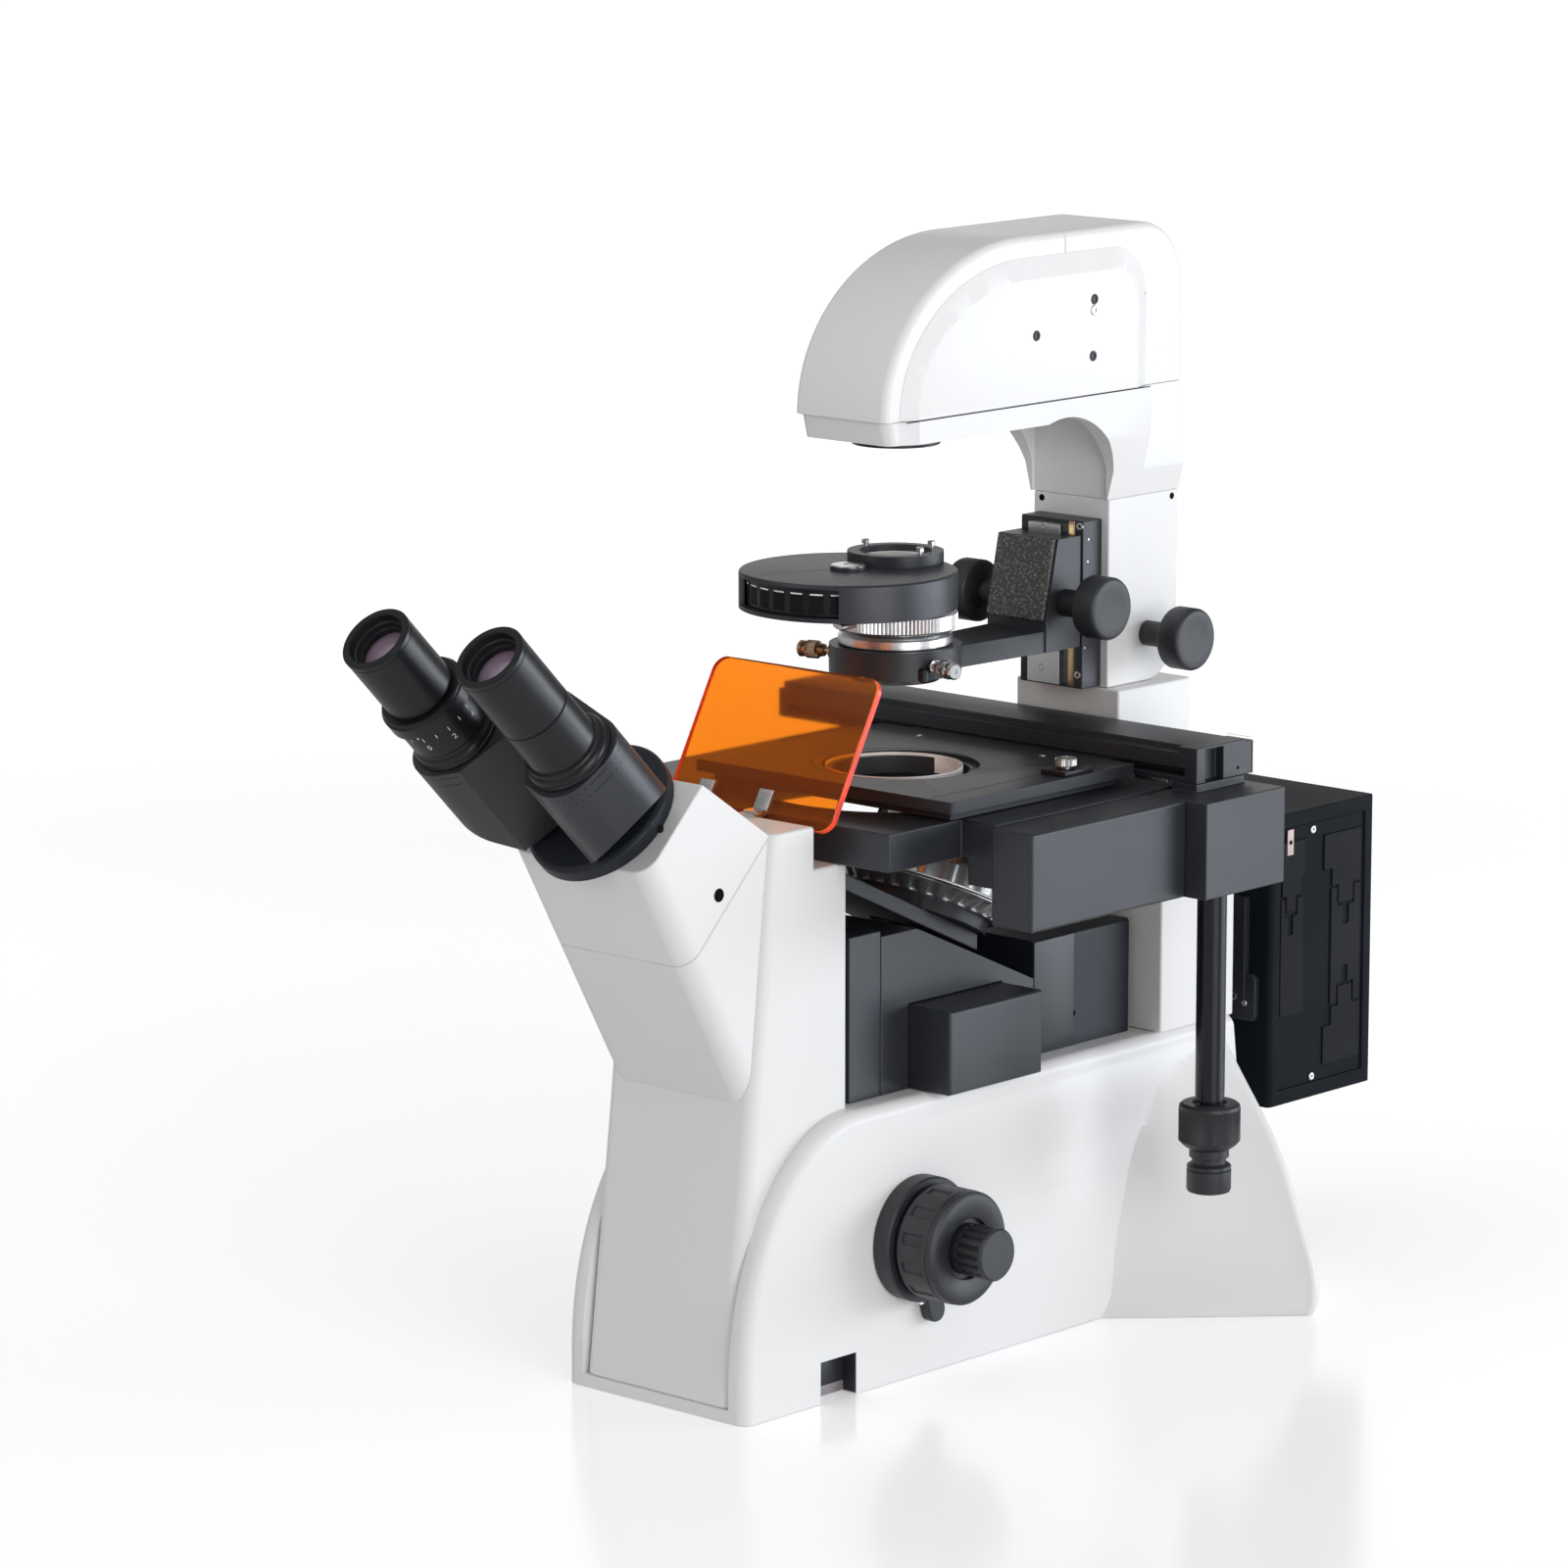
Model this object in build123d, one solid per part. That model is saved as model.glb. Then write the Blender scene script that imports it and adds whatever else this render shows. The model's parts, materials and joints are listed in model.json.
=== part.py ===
from build123d import *
from math import cos, sin, radians
import os

# Inverted microscope with epi-fluorescence, phase-contrast condenser and mechanical stage.
# Millimetres. The origin is on the optical axis at bench level, -Y faces the observer,
# +X is the observer's right and +Z is up.

# Base and its front pillar
base_half = 60.0
ledge_z = 141.0
toe_y = -175.0
toe_z = 15.0
panel_top_y = -91.0
base_rear_top_y = 197.0
base_rear_low_y = 215.0
panel_round = 6.5
flare_inner_x = base_half - 8.0
flare_rear_y = 213.0
flare_round = 7.0
# each row: height, Y where the flare leaves the side wall, then X and Y of its outer corner
flare_sections = [(0.0, 88.0, base_half + 78.0, 170.5), (8.0, 95.5, base_half + 81.3, 171.0),
                  (20.0, 98.0, base_half + 79.0, 173.0), (41.0, 100.6, base_half + 68.5, 176.0),
                  (64.0, 105.7, base_half + 55.5, 180.0), (87.0, 112.5, base_half + 39.5, 184.0),
                  (109.0, 122.0, base_half + 20.0, 187.5), (125.0, 131.0, base_half + 5.5, 190.0),
                  (136.0, 139.0, base_half - 1.5, 192.0)]
cavity_half = 36.0
cavity_front_y = -80.0
cavity_rear_y = 58.0
plate_shelf = 4.0
plate_thick = 5.0
plate_recess = 1.0
rear_cavity = (52.0, 70.0, 186.0, 130.0)
pad_r = 12.0
pad_thick = 3.0
front_pad = (42.0, -150.0)
rear_pad = (104.0, 163.0)
notch_front_y = -121.0
notch_rear_y = -95.0
notch_z = 21.0
fit = 0.3
running = 0.05

pillar_half = 48.7
pillar_foot_z = 6.0
pillar_toe_y = -174.6
pillar_knee_y = -158.0
pillar_knee_z = 145.0
pillar_crown_y = -143.0
pillar_top_z = 284.0
pillar_step_y = -113.0
pillar_rear_y = -90.0
pillar_round = 7.0

# Stage slab and its way
slab_top_z = 282.0
slab_thick = 19.0
slab_left_x = -127.0
slab_front_right_x = 82.0
slab_right_x = 104.0
slab_front_y = -97.0
slab_jog_y = -44.0
slab_rear_y = 132.7
slab_tab_y = 150.0
slab_opening_r = 70.0
way_x = 111.7
way_low_z = 250.0
way_high_z = 260.0
way_rear_y = 120.0
slab_bottom_z = slab_top_z - slab_thick

# Rear column
column_front_y = 137.7
column_rear_y = 197.0
knee_front_y = 108.0
knee_r = 29.0
block_half = 34.0
block_front_y = 133.0
block_rear_y = 191.0
block_top_z = 316.0

# Tilting illumination column
tilt_y = 166.0
tilt_z = 341.0
tilt_r = 25.0
tongue_half = 12.0
tongue_r = 15.5
tongue_rear = 13.0
tilt_pin_r = 5.0
clamp_neck_r = 6.5
clamp_inner_x = 44.0
clamp_outer_x = 57.6
mast_half = 25.0
mast_front_y = 135.0
mast_rear_y = 190.5
mast_top_z = 413.0

# Illumination arm
arm_half = 29.0
seam_z = 469.5
arm_low_z = 458.0
arm_front_y = -40.0
arch_start_y = 77.0
arch_end_y = 133.0
arch_end_z = 428.0
dome_centre_y = 60.0
dome_half_length = 102.0
dome_height = 83.0
dome_rear_y = 187.0
dome_rear_round = 32.0
cover_wall = 4.0
cover_split_y = 93.0
side_panel_proud = 4.0
side_panel_band = 11.0
side_panel_inset = 10.0
side_panel_rear_y = 157.0
lens_ring_r = 22.0
lens_ring_low_z = 454.0
lens_r = 17.0
lamp_block = (15.0, 22.0, 44.0)
lamp_axis_rise = 30.0
lamp_rear_y_in_arm = 150.0
bulb_socket = (9.0, 8.0)
bulb = (6.0, 20.0)
cheek_out_x = 34.0
cheek_low_z = 446.0

# Condenser rail, carrier and condenser
rail_half = 20.5
rail_front_y = 120.0
rail_low_z = 317.0
rail_high_z = 403.0
rack_front_y = 113.6
rack_root_half = 8.0
rack_crest_half = 10.5
carrier_half = 19.5
carrier_top_z = 396.0
carrier_low_z = 339.0
carrier_nose_top_y = 101.7
carrier_nose_low_y = 92.7
carrier_bend_z = 355.0
carrier_rear_y = 119.6
cover_thick = 2.5
pinion_y = 108.0
pinion_z = 363.0
pinion_r = 5.2
knob_r = 16.0
knob_inner_x = 36.0
knob_outer_x = 50.0
holder_r = 33.0
holder_low_z = 340.0
holder_high_z = 354.0
barrel_r = 26.0
barrel_low_z = 336.0
silver_ring_r = 28.5
neck_r = 20.0
aperture_ring_r = 31.0
aperture_low_z = 362.0
aperture_high_z = 371.0
turret_y = -35.0
turret_case_r = 54.0
turret_low_z = 376.5
turret_high_z = 395.0
turret_wall = 2.2
turret_disc_r = 50.6
turret_window = 37.0
annulus_r = 24.0
annulus_high_z = 400.5
light_r = 13.0
screw_z = 347.0

# Head and binocular
head_half = 46.0
chin_z = 153.0
brow_y = -227.0
brow_z = 277.0
crown_y = -189.0
crown_z = 315.0
parting_z = 221.0
parting_gap = 0.4
head_round = 11.0
hinge_y = (brow_y + crown_y) / 2
hinge_z = (brow_z + crown_z) / 2
tube_radius_from_hinge = 39.2
rest_fold = 18.9
mount_r = 38.0
mount_thick = 9.0
boss_r = 17.0
boss_top = 12.0
ear_r = 14.0
ear_thick = 9.5
hinge_pin_r = 5.0
hinge_nut_r = 9.0
hinge_nut_thick = 3.0
prism_top = 74.5
prism_outer = 62.0
prism_inner = 5.5
prism_half = 24.0
prism_round = 19.0
prism_bore_depth = 32.0
prism_wedge = (31.0, 7.5, 4.5)
prism_wedge_nose = 3.5
prism_chamfer = (30.0, 37.0)
collar_r = 22.0
collar_thick = 6.0
tube_r = 17.75
tube_length = 28.0
scale_r = 20.0
scale_length = 17.7
diopter_r = 22.0
eyepiece_length = 40.0
sleeve_r = 15.0
sleeve_depth = 18.0
ocular_mouth_r = 14.0
ocular_lens_r = 11.5
ocular_depth = 10.0
ocular_curve = 26.0

# Mechanical stage
way_box_x = 107.0
way_box_outer_x = 133.0
way_box_front_y = -51.0
drive_front_y = 66.0
drive_rear_y = 128.0
drive_outer_x = 146.0
drive_low_z = 233.5
bar_left_x = -155.0
bar_right_x = 124.0
bar_front_y = 85.0
bar_rear_y = 123.0
bar_low_z = 286.0
bar_thick = 18.0
bar_high_z = bar_low_z + bar_thick
bar_step = (4.0, 3.0)
slot_low_z = 289.0
slot_high_z = 293.0
slot_depth = 9.0
plate_left_x = -80.0
plate_right_x = 89.0
plate_front_y = -59.0
plate_rear_y = 80.0
plate_low_z = 287.0
plate_high_z = 293.0
plate_skirt_inset = 7.0
opening_x = 4.6
opening_r = 34.0
seat_r = 39.0
seat_depth = 2.0
stem_x = 130.0
stem_y = 91.0
stem_r = 7.3
outer_shaft_r = 5.0
inner_shaft_r = 3.0
y_knob_r = 15.5
y_knob_low_z = 102.4
y_knob_high_z = 124.8
x_knob_r = 11.2
x_knob_neck_r = 10.0
x_knob_low_z = 79.0
x_knob_high_z = 93.5

# Shield
shield_half = 54.5
shield_height = 80.0
shield_thick = 4.0
shield_y = -89.0
shield_z = 315.0
shield_lean = 28.8
clip_places = (9.0, -30.0)

# Focus
focus_y = -52.0
focus_z = 71.0
focus_pitch_r = 6.0
focus_pinion_r = 5.6
coarse_shaft_r = 5.0
fine_shaft_r = 2.5
bush_r = 10.0
tension_r = 31.4
tension_outer_x = base_half + 10.0
coarse_r = 28.5
coarse_inner_x = tension_outer_x + 0.4
coarse_outer_x = coarse_inner_x + 25.6
fine_r = 12.8
fine_outer_x = coarse_outer_x + 18.0
guide_half = 14.0
guide_depth = 8.0
slide_half = 20.0
slide_rear_y = -64.0
slide_low_z = 30.0

# Nosepiece
nose_tilt = 25.0
nose_y = 22.0
nose_z = 232.0
nose_r = 50.0
nose_thick = 12.0
nose_base_r = 38.0
nose_base_thick = 14.0
nose_pivot_r = 8.0
nose_places = 5
objective_r = 11.0
objective_tip_r = 4.8
objective_tip_z = 277.0
shank_r = 8.8
arm_plate_half = 28.0
arm_plate_thick = 8.0
path_r = 12.0

# Fluorescence unit
unit_half = 45.0
channel_front_y = -84.0
channel_rear_y = -61.0
channel_top_z = 224.0
channel_half = 31.0
unit_top_z = 221.0
unit_break_y = -34.0
unit_rear_y = 55.0
unit_rear_z = 181.0
drawer_front_y = -39.8
drawer_rear_y = 30.0
drawer_top_z = 183.5
drawer_left_x = -15.0
drawer_outer_x = 72.0
cube_size = 25.0
cube_pitch = 27.0
cube_height = 32.0
drawer_floor = 2.0
rear_case_half = 44.0
rear_case_rear_y = 131.0
rear_case_top_z = 200.0
beam_z = 163.5
beam_tube_r = 22.0
beam_bore_r = 18.0
flange_half = 48.0
flange_height = 56.0
lamp_half = 62.0
lamp_front_y = 225.0
lamp_depth = 87.0
lamp_rear_y = lamp_front_y + lamp_depth
lamp_low_z = 86.0
lamp_high_z = 241.0
lamp_wall = 4.0
lamp_rim = 8.0
lamp_recess = 1.2
lamp_vent_half = 30.0
lamp_vent_inset = 0.28
mirror_half = 20.0
mirror_rise = 44.0


def box(x0, x1, y0, y1, z0, z1):
    return Pos((x0 + x1) / 2, (y0 + y1) / 2, (z0 + z1) / 2) * Box(x1 - x0, y1 - y0, z1 - z0)


def rod(at, along, radius, length):
    """A cylinder from a point along a direction."""
    return extrude(Plane(origin=at, z_dir=along) * Circle(radius), length)


def pipe(at, along, outer, inner, length):
    return extrude(Plane(origin=at, z_dir=along) * (Circle(outer) - Circle(inner)), length)


def side_slab(outline, half, low=None):
    """A side view outline of (y, z) points or a face, given width along X."""
    face = outline if not isinstance(outline, list) else make_face(Polyline(*outline, close=True))
    start = -half if low is None else low
    return extrude(Plane.YZ.offset(start) * face, half - start)


def turned(outline, at=(0, 0, 0), along=(0, 0, 1)):
    """A body of revolution from (radius, height) points about a line through a point."""
    face = make_face(Polyline(*outline, close=True))
    body = revolve(Plane.XZ * face, Axis.Z)
    return Plane(origin=at, z_dir=along).location * body


def mirrored(shape):
    return mirror(shape, about=Plane.YZ)


def pillar_front(z):
    """Y of the pillar's front face at a height above its knee."""
    rise = (pillar_crown_y - pillar_knee_y) / (pillar_top_z - pillar_knee_z)
    return pillar_knee_y + rise * (z - pillar_knee_z)


# Base

def base_casting():
    toe_line = Line((toe_y, 0), (toe_y, toe_z))
    sweep_up = EllipticalCenterArc((panel_top_y, toe_z), panel_top_y - toe_y, ledge_z - toe_z,
                                   180, 90, angular_direction=AngularDirection.CLOCKWISE)
    rest = Polyline((panel_top_y, ledge_z), (base_rear_top_y, ledge_z), (base_rear_low_y, 0), (toe_y, 0))
    body = side_slab(make_face([toe_line, sweep_up, rest]), base_half)
    front = [e for e in body.edges().filter_by(GeomType.ELLIPSE)]
    front += [e for e in body.edges().filter_by(Axis.Z) if abs(e.center().Y - toe_y) < 1]
    body = fillet(front, panel_round)
    right = flare()
    body += right
    body += mirrored(right)
    slot = box(-pillar_half, pillar_half, toe_y - 10, pillar_rear_y, pillar_foot_z, ledge_z + 1)
    body -= slot
    body -= box(-cavity_half, cavity_half, cavity_front_y, cavity_rear_y, -1, ledge_z + 1)
    shelf = cavity_half + plate_shelf
    body -= box(-shelf, shelf, cavity_front_y - plate_shelf, cavity_rear_y + plate_shelf,
                -1, plate_recess + plate_thick)
    half, y0, y1, z1 = rear_cavity
    body -= box(-half, half, y0, y1, -1, z1)
    for side in (1, -1):
        inner = side * (pillar_half + 2)
        outer = side * (base_half + 5)
        body -= box(min(inner, outer), max(inner, outer), notch_front_y, notch_rear_y, -1, notch_z)
        body += rod((side * base_half, focus_y, focus_z), (side, 0, 0), bush_r, tension_outer_x - base_half)
    body -= rod((-fine_outer_x, focus_y, focus_z), (1, 0, 0), coarse_shaft_r + running, 2 * fine_outer_x)
    for x, y in pad_places():
        body -= rod((x, y, -1), (0, 0, 1), pad_r + 0.1, pad_thick + 1)
    return body


def flare():
    """The right-hand spreading foot: level sections, each a triangle with a rounded outer corner, lofted upwards."""
    sections = []
    for z, leave_y, corner_x, corner_y in flare_sections:
        corner = Vector(corner_x, corner_y)
        slope = (corner_y - leave_y) / max(corner_x - base_half, 6.0)
        start = Vector(flare_inner_x, leave_y - slope * (base_half - flare_inner_x) * 0.5)
        end = Vector(flare_inner_x, flare_rear_y - 0.12 * z)
        reach = flare_round
        before = corner + (start - corner).normalized() * reach
        after = corner + (end - corner).normalized() * reach
        middle = (before + after) * 0.25 + corner * 0.5
        outline = [Line(start, before), ThreePointArc(before, middle, after), Line(after, end), Line(end, start)]
        sections.append(Plane.XY.offset(z) * make_face(outline))
    return loft(sections)


def pad_places():
    return [(x * s, y) for x, y in (front_pad, rear_pad) for s in (1, -1)]


def rubber_pads():
    pads = [rod((x, y, 0), (0, 0, 1), pad_r, pad_thick) for x, y in pad_places()]
    return Compound(pads)


def bottom_plate():
    reach = cavity_half + plate_shelf - fit
    return box(-reach, reach, cavity_front_y - plate_shelf + fit, cavity_rear_y + plate_shelf - fit,
               plate_recess, plate_recess + plate_thick)


def front_pillar():
    outline = [(pillar_toe_y, pillar_foot_z), (pillar_knee_y, pillar_knee_z), (pillar_crown_y, pillar_top_z),
               (pillar_step_y, pillar_top_z), (pillar_step_y, slab_bottom_z),
               (pillar_rear_y, slab_bottom_z), (pillar_rear_y, pillar_foot_z)]
    body = side_slab(outline, pillar_half)
    corners = [e for e in body.edges() if e.center().Y < pillar_crown_y and abs(abs(e.center().X) - pillar_half) < 1
               and e.length > 30]
    return fillet(corners, pillar_round)


# Head

def head_outline():
    chin_y = pillar_front(chin_z)
    return [(chin_y, chin_z), (brow_y, brow_z), (crown_y, crown_z), (pillar_crown_y, pillar_top_z)]


def whole_head():
    body = side_slab(head_outline(), head_half)
    slope = (brow_y - pillar_front(chin_z)) / 2
    nose = [e for e in body.edges() if abs(e.center().Y - (pillar_front(chin_z) + slope)) < 2
            and abs(e.center().X) > head_half - 1]
    return fillet(nose, head_round)


def parting_block(gap):
    """Everything below the parting line, which runs level in front and at 45 degrees behind."""
    bend_y = parting_z - (pillar_top_z - 1.5 - pillar_crown_y)
    top = pillar_top_z - 1.5
    outline = [(brow_y - 20, chin_z - 20), (brow_y - 20, parting_z - gap), (bend_y, parting_z - gap),
               (bend_y + top - parting_z, top - gap), (pillar_crown_y + 30, top - gap),
               (pillar_crown_y + 30, chin_z - 20)]
    return side_slab(outline, head_half + 5)


def head_housing():
    return whole_head() - parting_block(0)


def front_cover():
    return whole_head() & parting_block(parting_gap)


def hinge_place():
    return Plane(origin=(0, hinge_y, hinge_z), x_dir=(1, 0, 0), z_dir=(0, -1, 1))


def binocular_mount():
    top = boss_top + 2 * (ear_thick + fit) + fit
    profile = [(0, 0), (mount_r, 0), (mount_r, mount_thick - 2), (mount_r - 2, mount_thick), (boss_r, mount_thick),
               (boss_r, boss_top), (hinge_pin_r, boss_top), (hinge_pin_r, top), (hinge_nut_r, top),
               (hinge_nut_r, top + hinge_nut_thick), (0, top + hinge_nut_thick)]
    return hinge_place().location * turned(profile)


def prism_body(ear_low):
    """The right-hand prism case laid level, hinge on Z, tube axis at the hinge radius."""
    wedge_x, wedge_in_x, wedge_in_y = prism_wedge
    flat = prism_half - prism_round
    outline = [Polyline((prism_inner, -prism_wedge_nose), (prism_inner, prism_half), (prism_outer - prism_round, prism_half)),
               RadiusArc((prism_outer - prism_round, prism_half), (prism_outer, flat), prism_round),
               Line((prism_outer, flat), (prism_outer, -flat)),
               RadiusArc((prism_outer, -flat), (prism_outer - prism_round, -prism_half), prism_round),
               Polyline((prism_outer - prism_round, -prism_half), (wedge_x, -prism_half),
                        (wedge_in_x, -wedge_in_y), (prism_inner, -prism_wedge_nose))]
    low = boss_top + fit
    body = extrude(Plane.XY.offset(low) * make_face(outline), prism_top - low)
    cut_x, cut_z = prism_chamfer
    toe = make_face(Polyline((cut_x, low - 1), (prism_outer + 1, low - 1), (prism_outer + 1, cut_z), close=True))
    body -= extrude(Plane.XZ.offset(-prism_half - 1) * toe, 2 * prism_half + 2)
    stack = boss_top + 2 * (ear_thick + fit) + fit + hinge_nut_thick + fit
    body -= Pos(0, 0, low - 1) * Cylinder(ear_r + 0.6, stack - low + 1, align=(Align.CENTER, Align.CENTER, Align.MIN))
    ear = Pos(0, 0, ear_low) * Cylinder(ear_r, ear_thick, align=(Align.CENTER, Align.CENTER, Align.MIN))
    ear += box(0, ear_r + 8, -6, 6, ear_low, ear_low + ear_thick)
    body += ear
    body -= Cylinder(hinge_pin_r + running, 4 * prism_top)
    body -= rod((tube_radius_from_hinge, 0, prism_top - prism_bore_depth), (0, 0, 1), sleeve_r - 2, prism_top)
    return body


def folded(shape, side):
    """Turn a level piece to its rest fold and set it on the head, on the right or the left."""
    turned_down = Rot(0, 0, -rest_fold) * shape
    if side < 0:
        turned_down = mirrored(turned_down)
    return hinge_place().location * turned_down


def right_prism_case():
    return folded(prism_body(boss_top + fit), 1)


def left_prism_case():
    return folded(prism_body(boss_top + fit + ear_thick + fit), -1)


def on_tube(profile):
    return Pos(tube_radius_from_hinge, 0, 0) * turned(profile)


def right_tube():
    top = prism_top + collar_thick + tube_length
    step = prism_top + collar_thick
    profile = [(sleeve_r + running, prism_top), (collar_r, prism_top), (collar_r, step - 1.5), (collar_r - 1.5, step),
               (tube_r, step), (tube_r, top), (sleeve_r + running, top)]
    return folded(on_tube(profile), 1)


def left_tube():
    step = prism_top + collar_thick
    top = step + tube_length
    shoulder = step + scale_length
    profile = [(sleeve_r + running, prism_top), (collar_r, prism_top), (collar_r, step - 1.5), (collar_r - 1.5, step),
               (scale_r, step), (scale_r, shoulder), (tube_r - 0.8, shoulder), (tube_r - 0.8, top),
               (sleeve_r + running, top)]
    return folded(on_tube(profile), -1)


def diopter_ring():
    low = prism_top + collar_thick + scale_length + fit
    high = prism_top + collar_thick + tube_length
    profile = [(tube_r - 0.8 + running, low), (diopter_r - 1, low), (diopter_r, low + 1), (diopter_r, high - 1),
               (diopter_r - 1, high), (tube_r - 0.8 + running, high)]
    return folded(on_tube(profile), -1)


def eyepiece(side):
    low = prism_top + collar_thick + tube_length + fit
    top = low + eyepiece_length
    profile = [(sleeve_r, low - sleeve_depth), (sleeve_r, low), (tube_r, low), (tube_r, top - 2.5),
               (tube_r - 0.8, top), (ocular_mouth_r, top), (ocular_lens_r + 0.5, top - ocular_depth),
               (ocular_lens_r + 0.5, top - ocular_depth - 8), (10, top - ocular_depth - 9), (10, low - sleeve_depth)]
    return folded(on_tube(profile), side)


def eye_lens(side):
    top = prism_top + collar_thick + tube_length + fit + eyepiece_length
    rim = top - ocular_depth
    lens = Pos(0, 0, rim - 2) * Cylinder(ocular_lens_r + 0.4, 8) & Pos(0, 0, rim + 1.5 - ocular_curve) * Sphere(ocular_curve)
    return folded(Pos(tube_radius_from_hinge, 0, 0) * lens, side)


# Rear column and stage slab

def rear_column():
    foot = Polyline((column_front_y, ledge_z), (column_front_y, slab_bottom_z - 10 - knee_r))
    bend = RadiusArc((column_front_y, slab_bottom_z - 10 - knee_r), (knee_front_y, slab_bottom_z - 10), knee_r)
    rest = Polyline((knee_front_y, slab_bottom_z - 10), (knee_front_y, slab_bottom_z), (column_rear_y, slab_bottom_z),
                    (column_rear_y, ledge_z), (column_front_y, ledge_z))
    body = side_slab(make_face([foot, bend, rest]), base_half)
    body += box(-block_half, block_half, block_front_y, block_rear_y, slab_bottom_z - 5, block_top_z)
    body += box(-tongue_half, tongue_half, tilt_y - tongue_r, tilt_y + tongue_rear, block_top_z - 5, tilt_z)
    body += rod((-tongue_half, tilt_y, tilt_z), (1, 0, 0), tongue_r, 2 * tongue_half)
    body -= rod((-base_half, tilt_y, tilt_z), (1, 0, 0), tilt_pin_r + running, 2 * base_half)
    body -= rod((0, knee_front_y, beam_z), (0, 1, 0), beam_tube_r + fit, column_rear_y - knee_front_y + 1)
    return body


def stage_slab():
    outline = [(slab_left_x, slab_front_y), (slab_front_right_x, slab_front_y), (slab_front_right_x, slab_jog_y),
               (slab_right_x, slab_jog_y), (slab_right_x, way_rear_y), (base_half, slab_rear_y),
               (base_half, slab_tab_y), (block_half + fit, slab_tab_y), (block_half + fit, slab_rear_y),
               (-block_half - fit, slab_rear_y), (-block_half - fit, slab_tab_y), (-base_half, slab_tab_y),
               (-base_half, slab_rear_y), (slab_left_x, slab_rear_y)]
    body = extrude(Plane.XY.offset(slab_bottom_z) * make_face(Polyline(*outline, close=True)), slab_thick)
    body -= Pos(0, 0, slab_top_z) * Cylinder(slab_opening_r, 3 * slab_thick)
    body -= Pos(0, 0, slab_bottom_z - 0.01) * Cone(slab_opening_r + 6, slab_opening_r, 6.01,
                                                  align=(Align.CENTER, Align.CENTER, Align.MIN))
    web = box(slab_front_right_x + 4, slab_right_x, slab_jog_y, way_rear_y, way_low_z, slab_bottom_z + 1)
    lip = box(slab_front_right_x + 4, way_x, slab_jog_y, way_rear_y, way_low_z, way_high_z)
    return body + web + lip


# Mechanical stage

def y_carriage():
    body = box(way_box_x, way_box_outer_x, way_box_front_y, drive_front_y, drive_low_z, slab_top_z)
    return body - box(way_box_x - 1, way_x + fit, way_box_front_y + 5, drive_front_y + 1,
                      way_low_z - fit, way_high_z + fit)


def drive_housing():
    body = box(way_box_x + 1, drive_outer_x, drive_front_y, drive_rear_y, drive_low_z, slab_top_z)
    body += box(way_box_x + 1, bar_right_x, bar_front_y, bar_rear_y, slab_top_z - 1, bar_low_z)
    body -= box(way_box_x, way_x + fit, drive_front_y - 1, drive_rear_y + 1, way_low_z - fit, way_high_z + fit)
    stem_end = y_knob_high_z + fit
    body += rod((stem_x, stem_y, stem_end), (0, 0, 1), stem_r, drive_low_z - stem_end + 1)
    return body - rod((stem_x, stem_y, 0), (0, 0, 1), outer_shaft_r + running, drive_low_z + 20)


def x_guide_bar():
    body = box(bar_left_x, bar_right_x, bar_front_y, bar_rear_y, bar_low_z, bar_high_z)
    body -= box(bar_left_x + 6, bar_right_x - 8, bar_front_y - 1, bar_front_y + slot_depth, slot_low_z, slot_high_z)
    deep, down = bar_step
    body -= box(bar_left_x - 1, bar_right_x - 12, bar_front_y - 1, bar_front_y + deep, bar_high_z - down, bar_high_z + 1)
    notch = box(bar_right_x - 5, bar_right_x + 1, bar_front_y + 7, bar_front_y + 21, bar_low_z - 1, bar_high_z - 1.5)
    body -= notch
    body += box(bar_right_x - 16, bar_right_x, bar_rear_y - 1, bar_rear_y + 6, bar_low_z, bar_high_z - 1)
    return body


def specimen_plate():
    body = box(plate_left_x, plate_right_x, plate_front_y, plate_rear_y, plate_low_z, plate_high_z)
    corners = body.edges().filter_by(Axis.Z)
    body = fillet(corners, 2)
    inset = plate_skirt_inset
    body += box(plate_left_x + inset, plate_right_x - inset, plate_front_y + inset, plate_rear_y - inset,
                slab_top_z + 0.4, plate_low_z + 1)
    body -= Pos(opening_x, 0, plate_low_z) * Cylinder(opening_r, 30)
    body -= Pos(opening_x, 0, plate_high_z - seat_depth) * Cylinder(seat_r, 20, align=(Align.CENTER, Align.CENTER, Align.MIN))
    body += box(plate_left_x + 20, plate_right_x - 20, plate_rear_y - 5, bar_front_y + slot_depth - fit,
                slot_low_z + fit, slot_high_z - fit)
    return body


def y_knob():
    body = rod((stem_x, stem_y, y_knob_low_z), (0, 0, 1), y_knob_r, y_knob_high_z - y_knob_low_z)
    body = chamfer(body.edges(), 1.2)
    body += rod((stem_x, stem_y, y_knob_high_z - 1), (0, 0, 1), outer_shaft_r, drive_low_z + 12 - y_knob_high_z)
    return body - rod((stem_x, stem_y, 0), (0, 0, 1), inner_shaft_r + running, slab_top_z)


def x_knob():
    grip = rod((stem_x, stem_y, x_knob_low_z), (0, 0, 1), x_knob_r, x_knob_high_z - x_knob_low_z)
    body = fillet(grip.edges(), 1.2)
    neck_top = y_knob_low_z - fit
    body += rod((stem_x, stem_y, x_knob_high_z - 0.5), (0, 0, 1), x_knob_neck_r, neck_top - x_knob_high_z + 0.5)
    return body + rod((stem_x, stem_y, neck_top - 1), (0, 0, 1), inner_shaft_r, drive_low_z + 15 - neck_top)


# Shield

def shield_place():
    lean = radians(shield_lean)
    return Plane(origin=(0, shield_y, shield_z), x_dir=(1, 0, 0), z_dir=(0, -cos(lean), sin(lean)))


def orange_shield():
    sheet = RectangleRounded(2 * shield_half, shield_height, 8)
    return extrude(shield_place().offset(-shield_thick / 2) * sheet, shield_thick)


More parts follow.
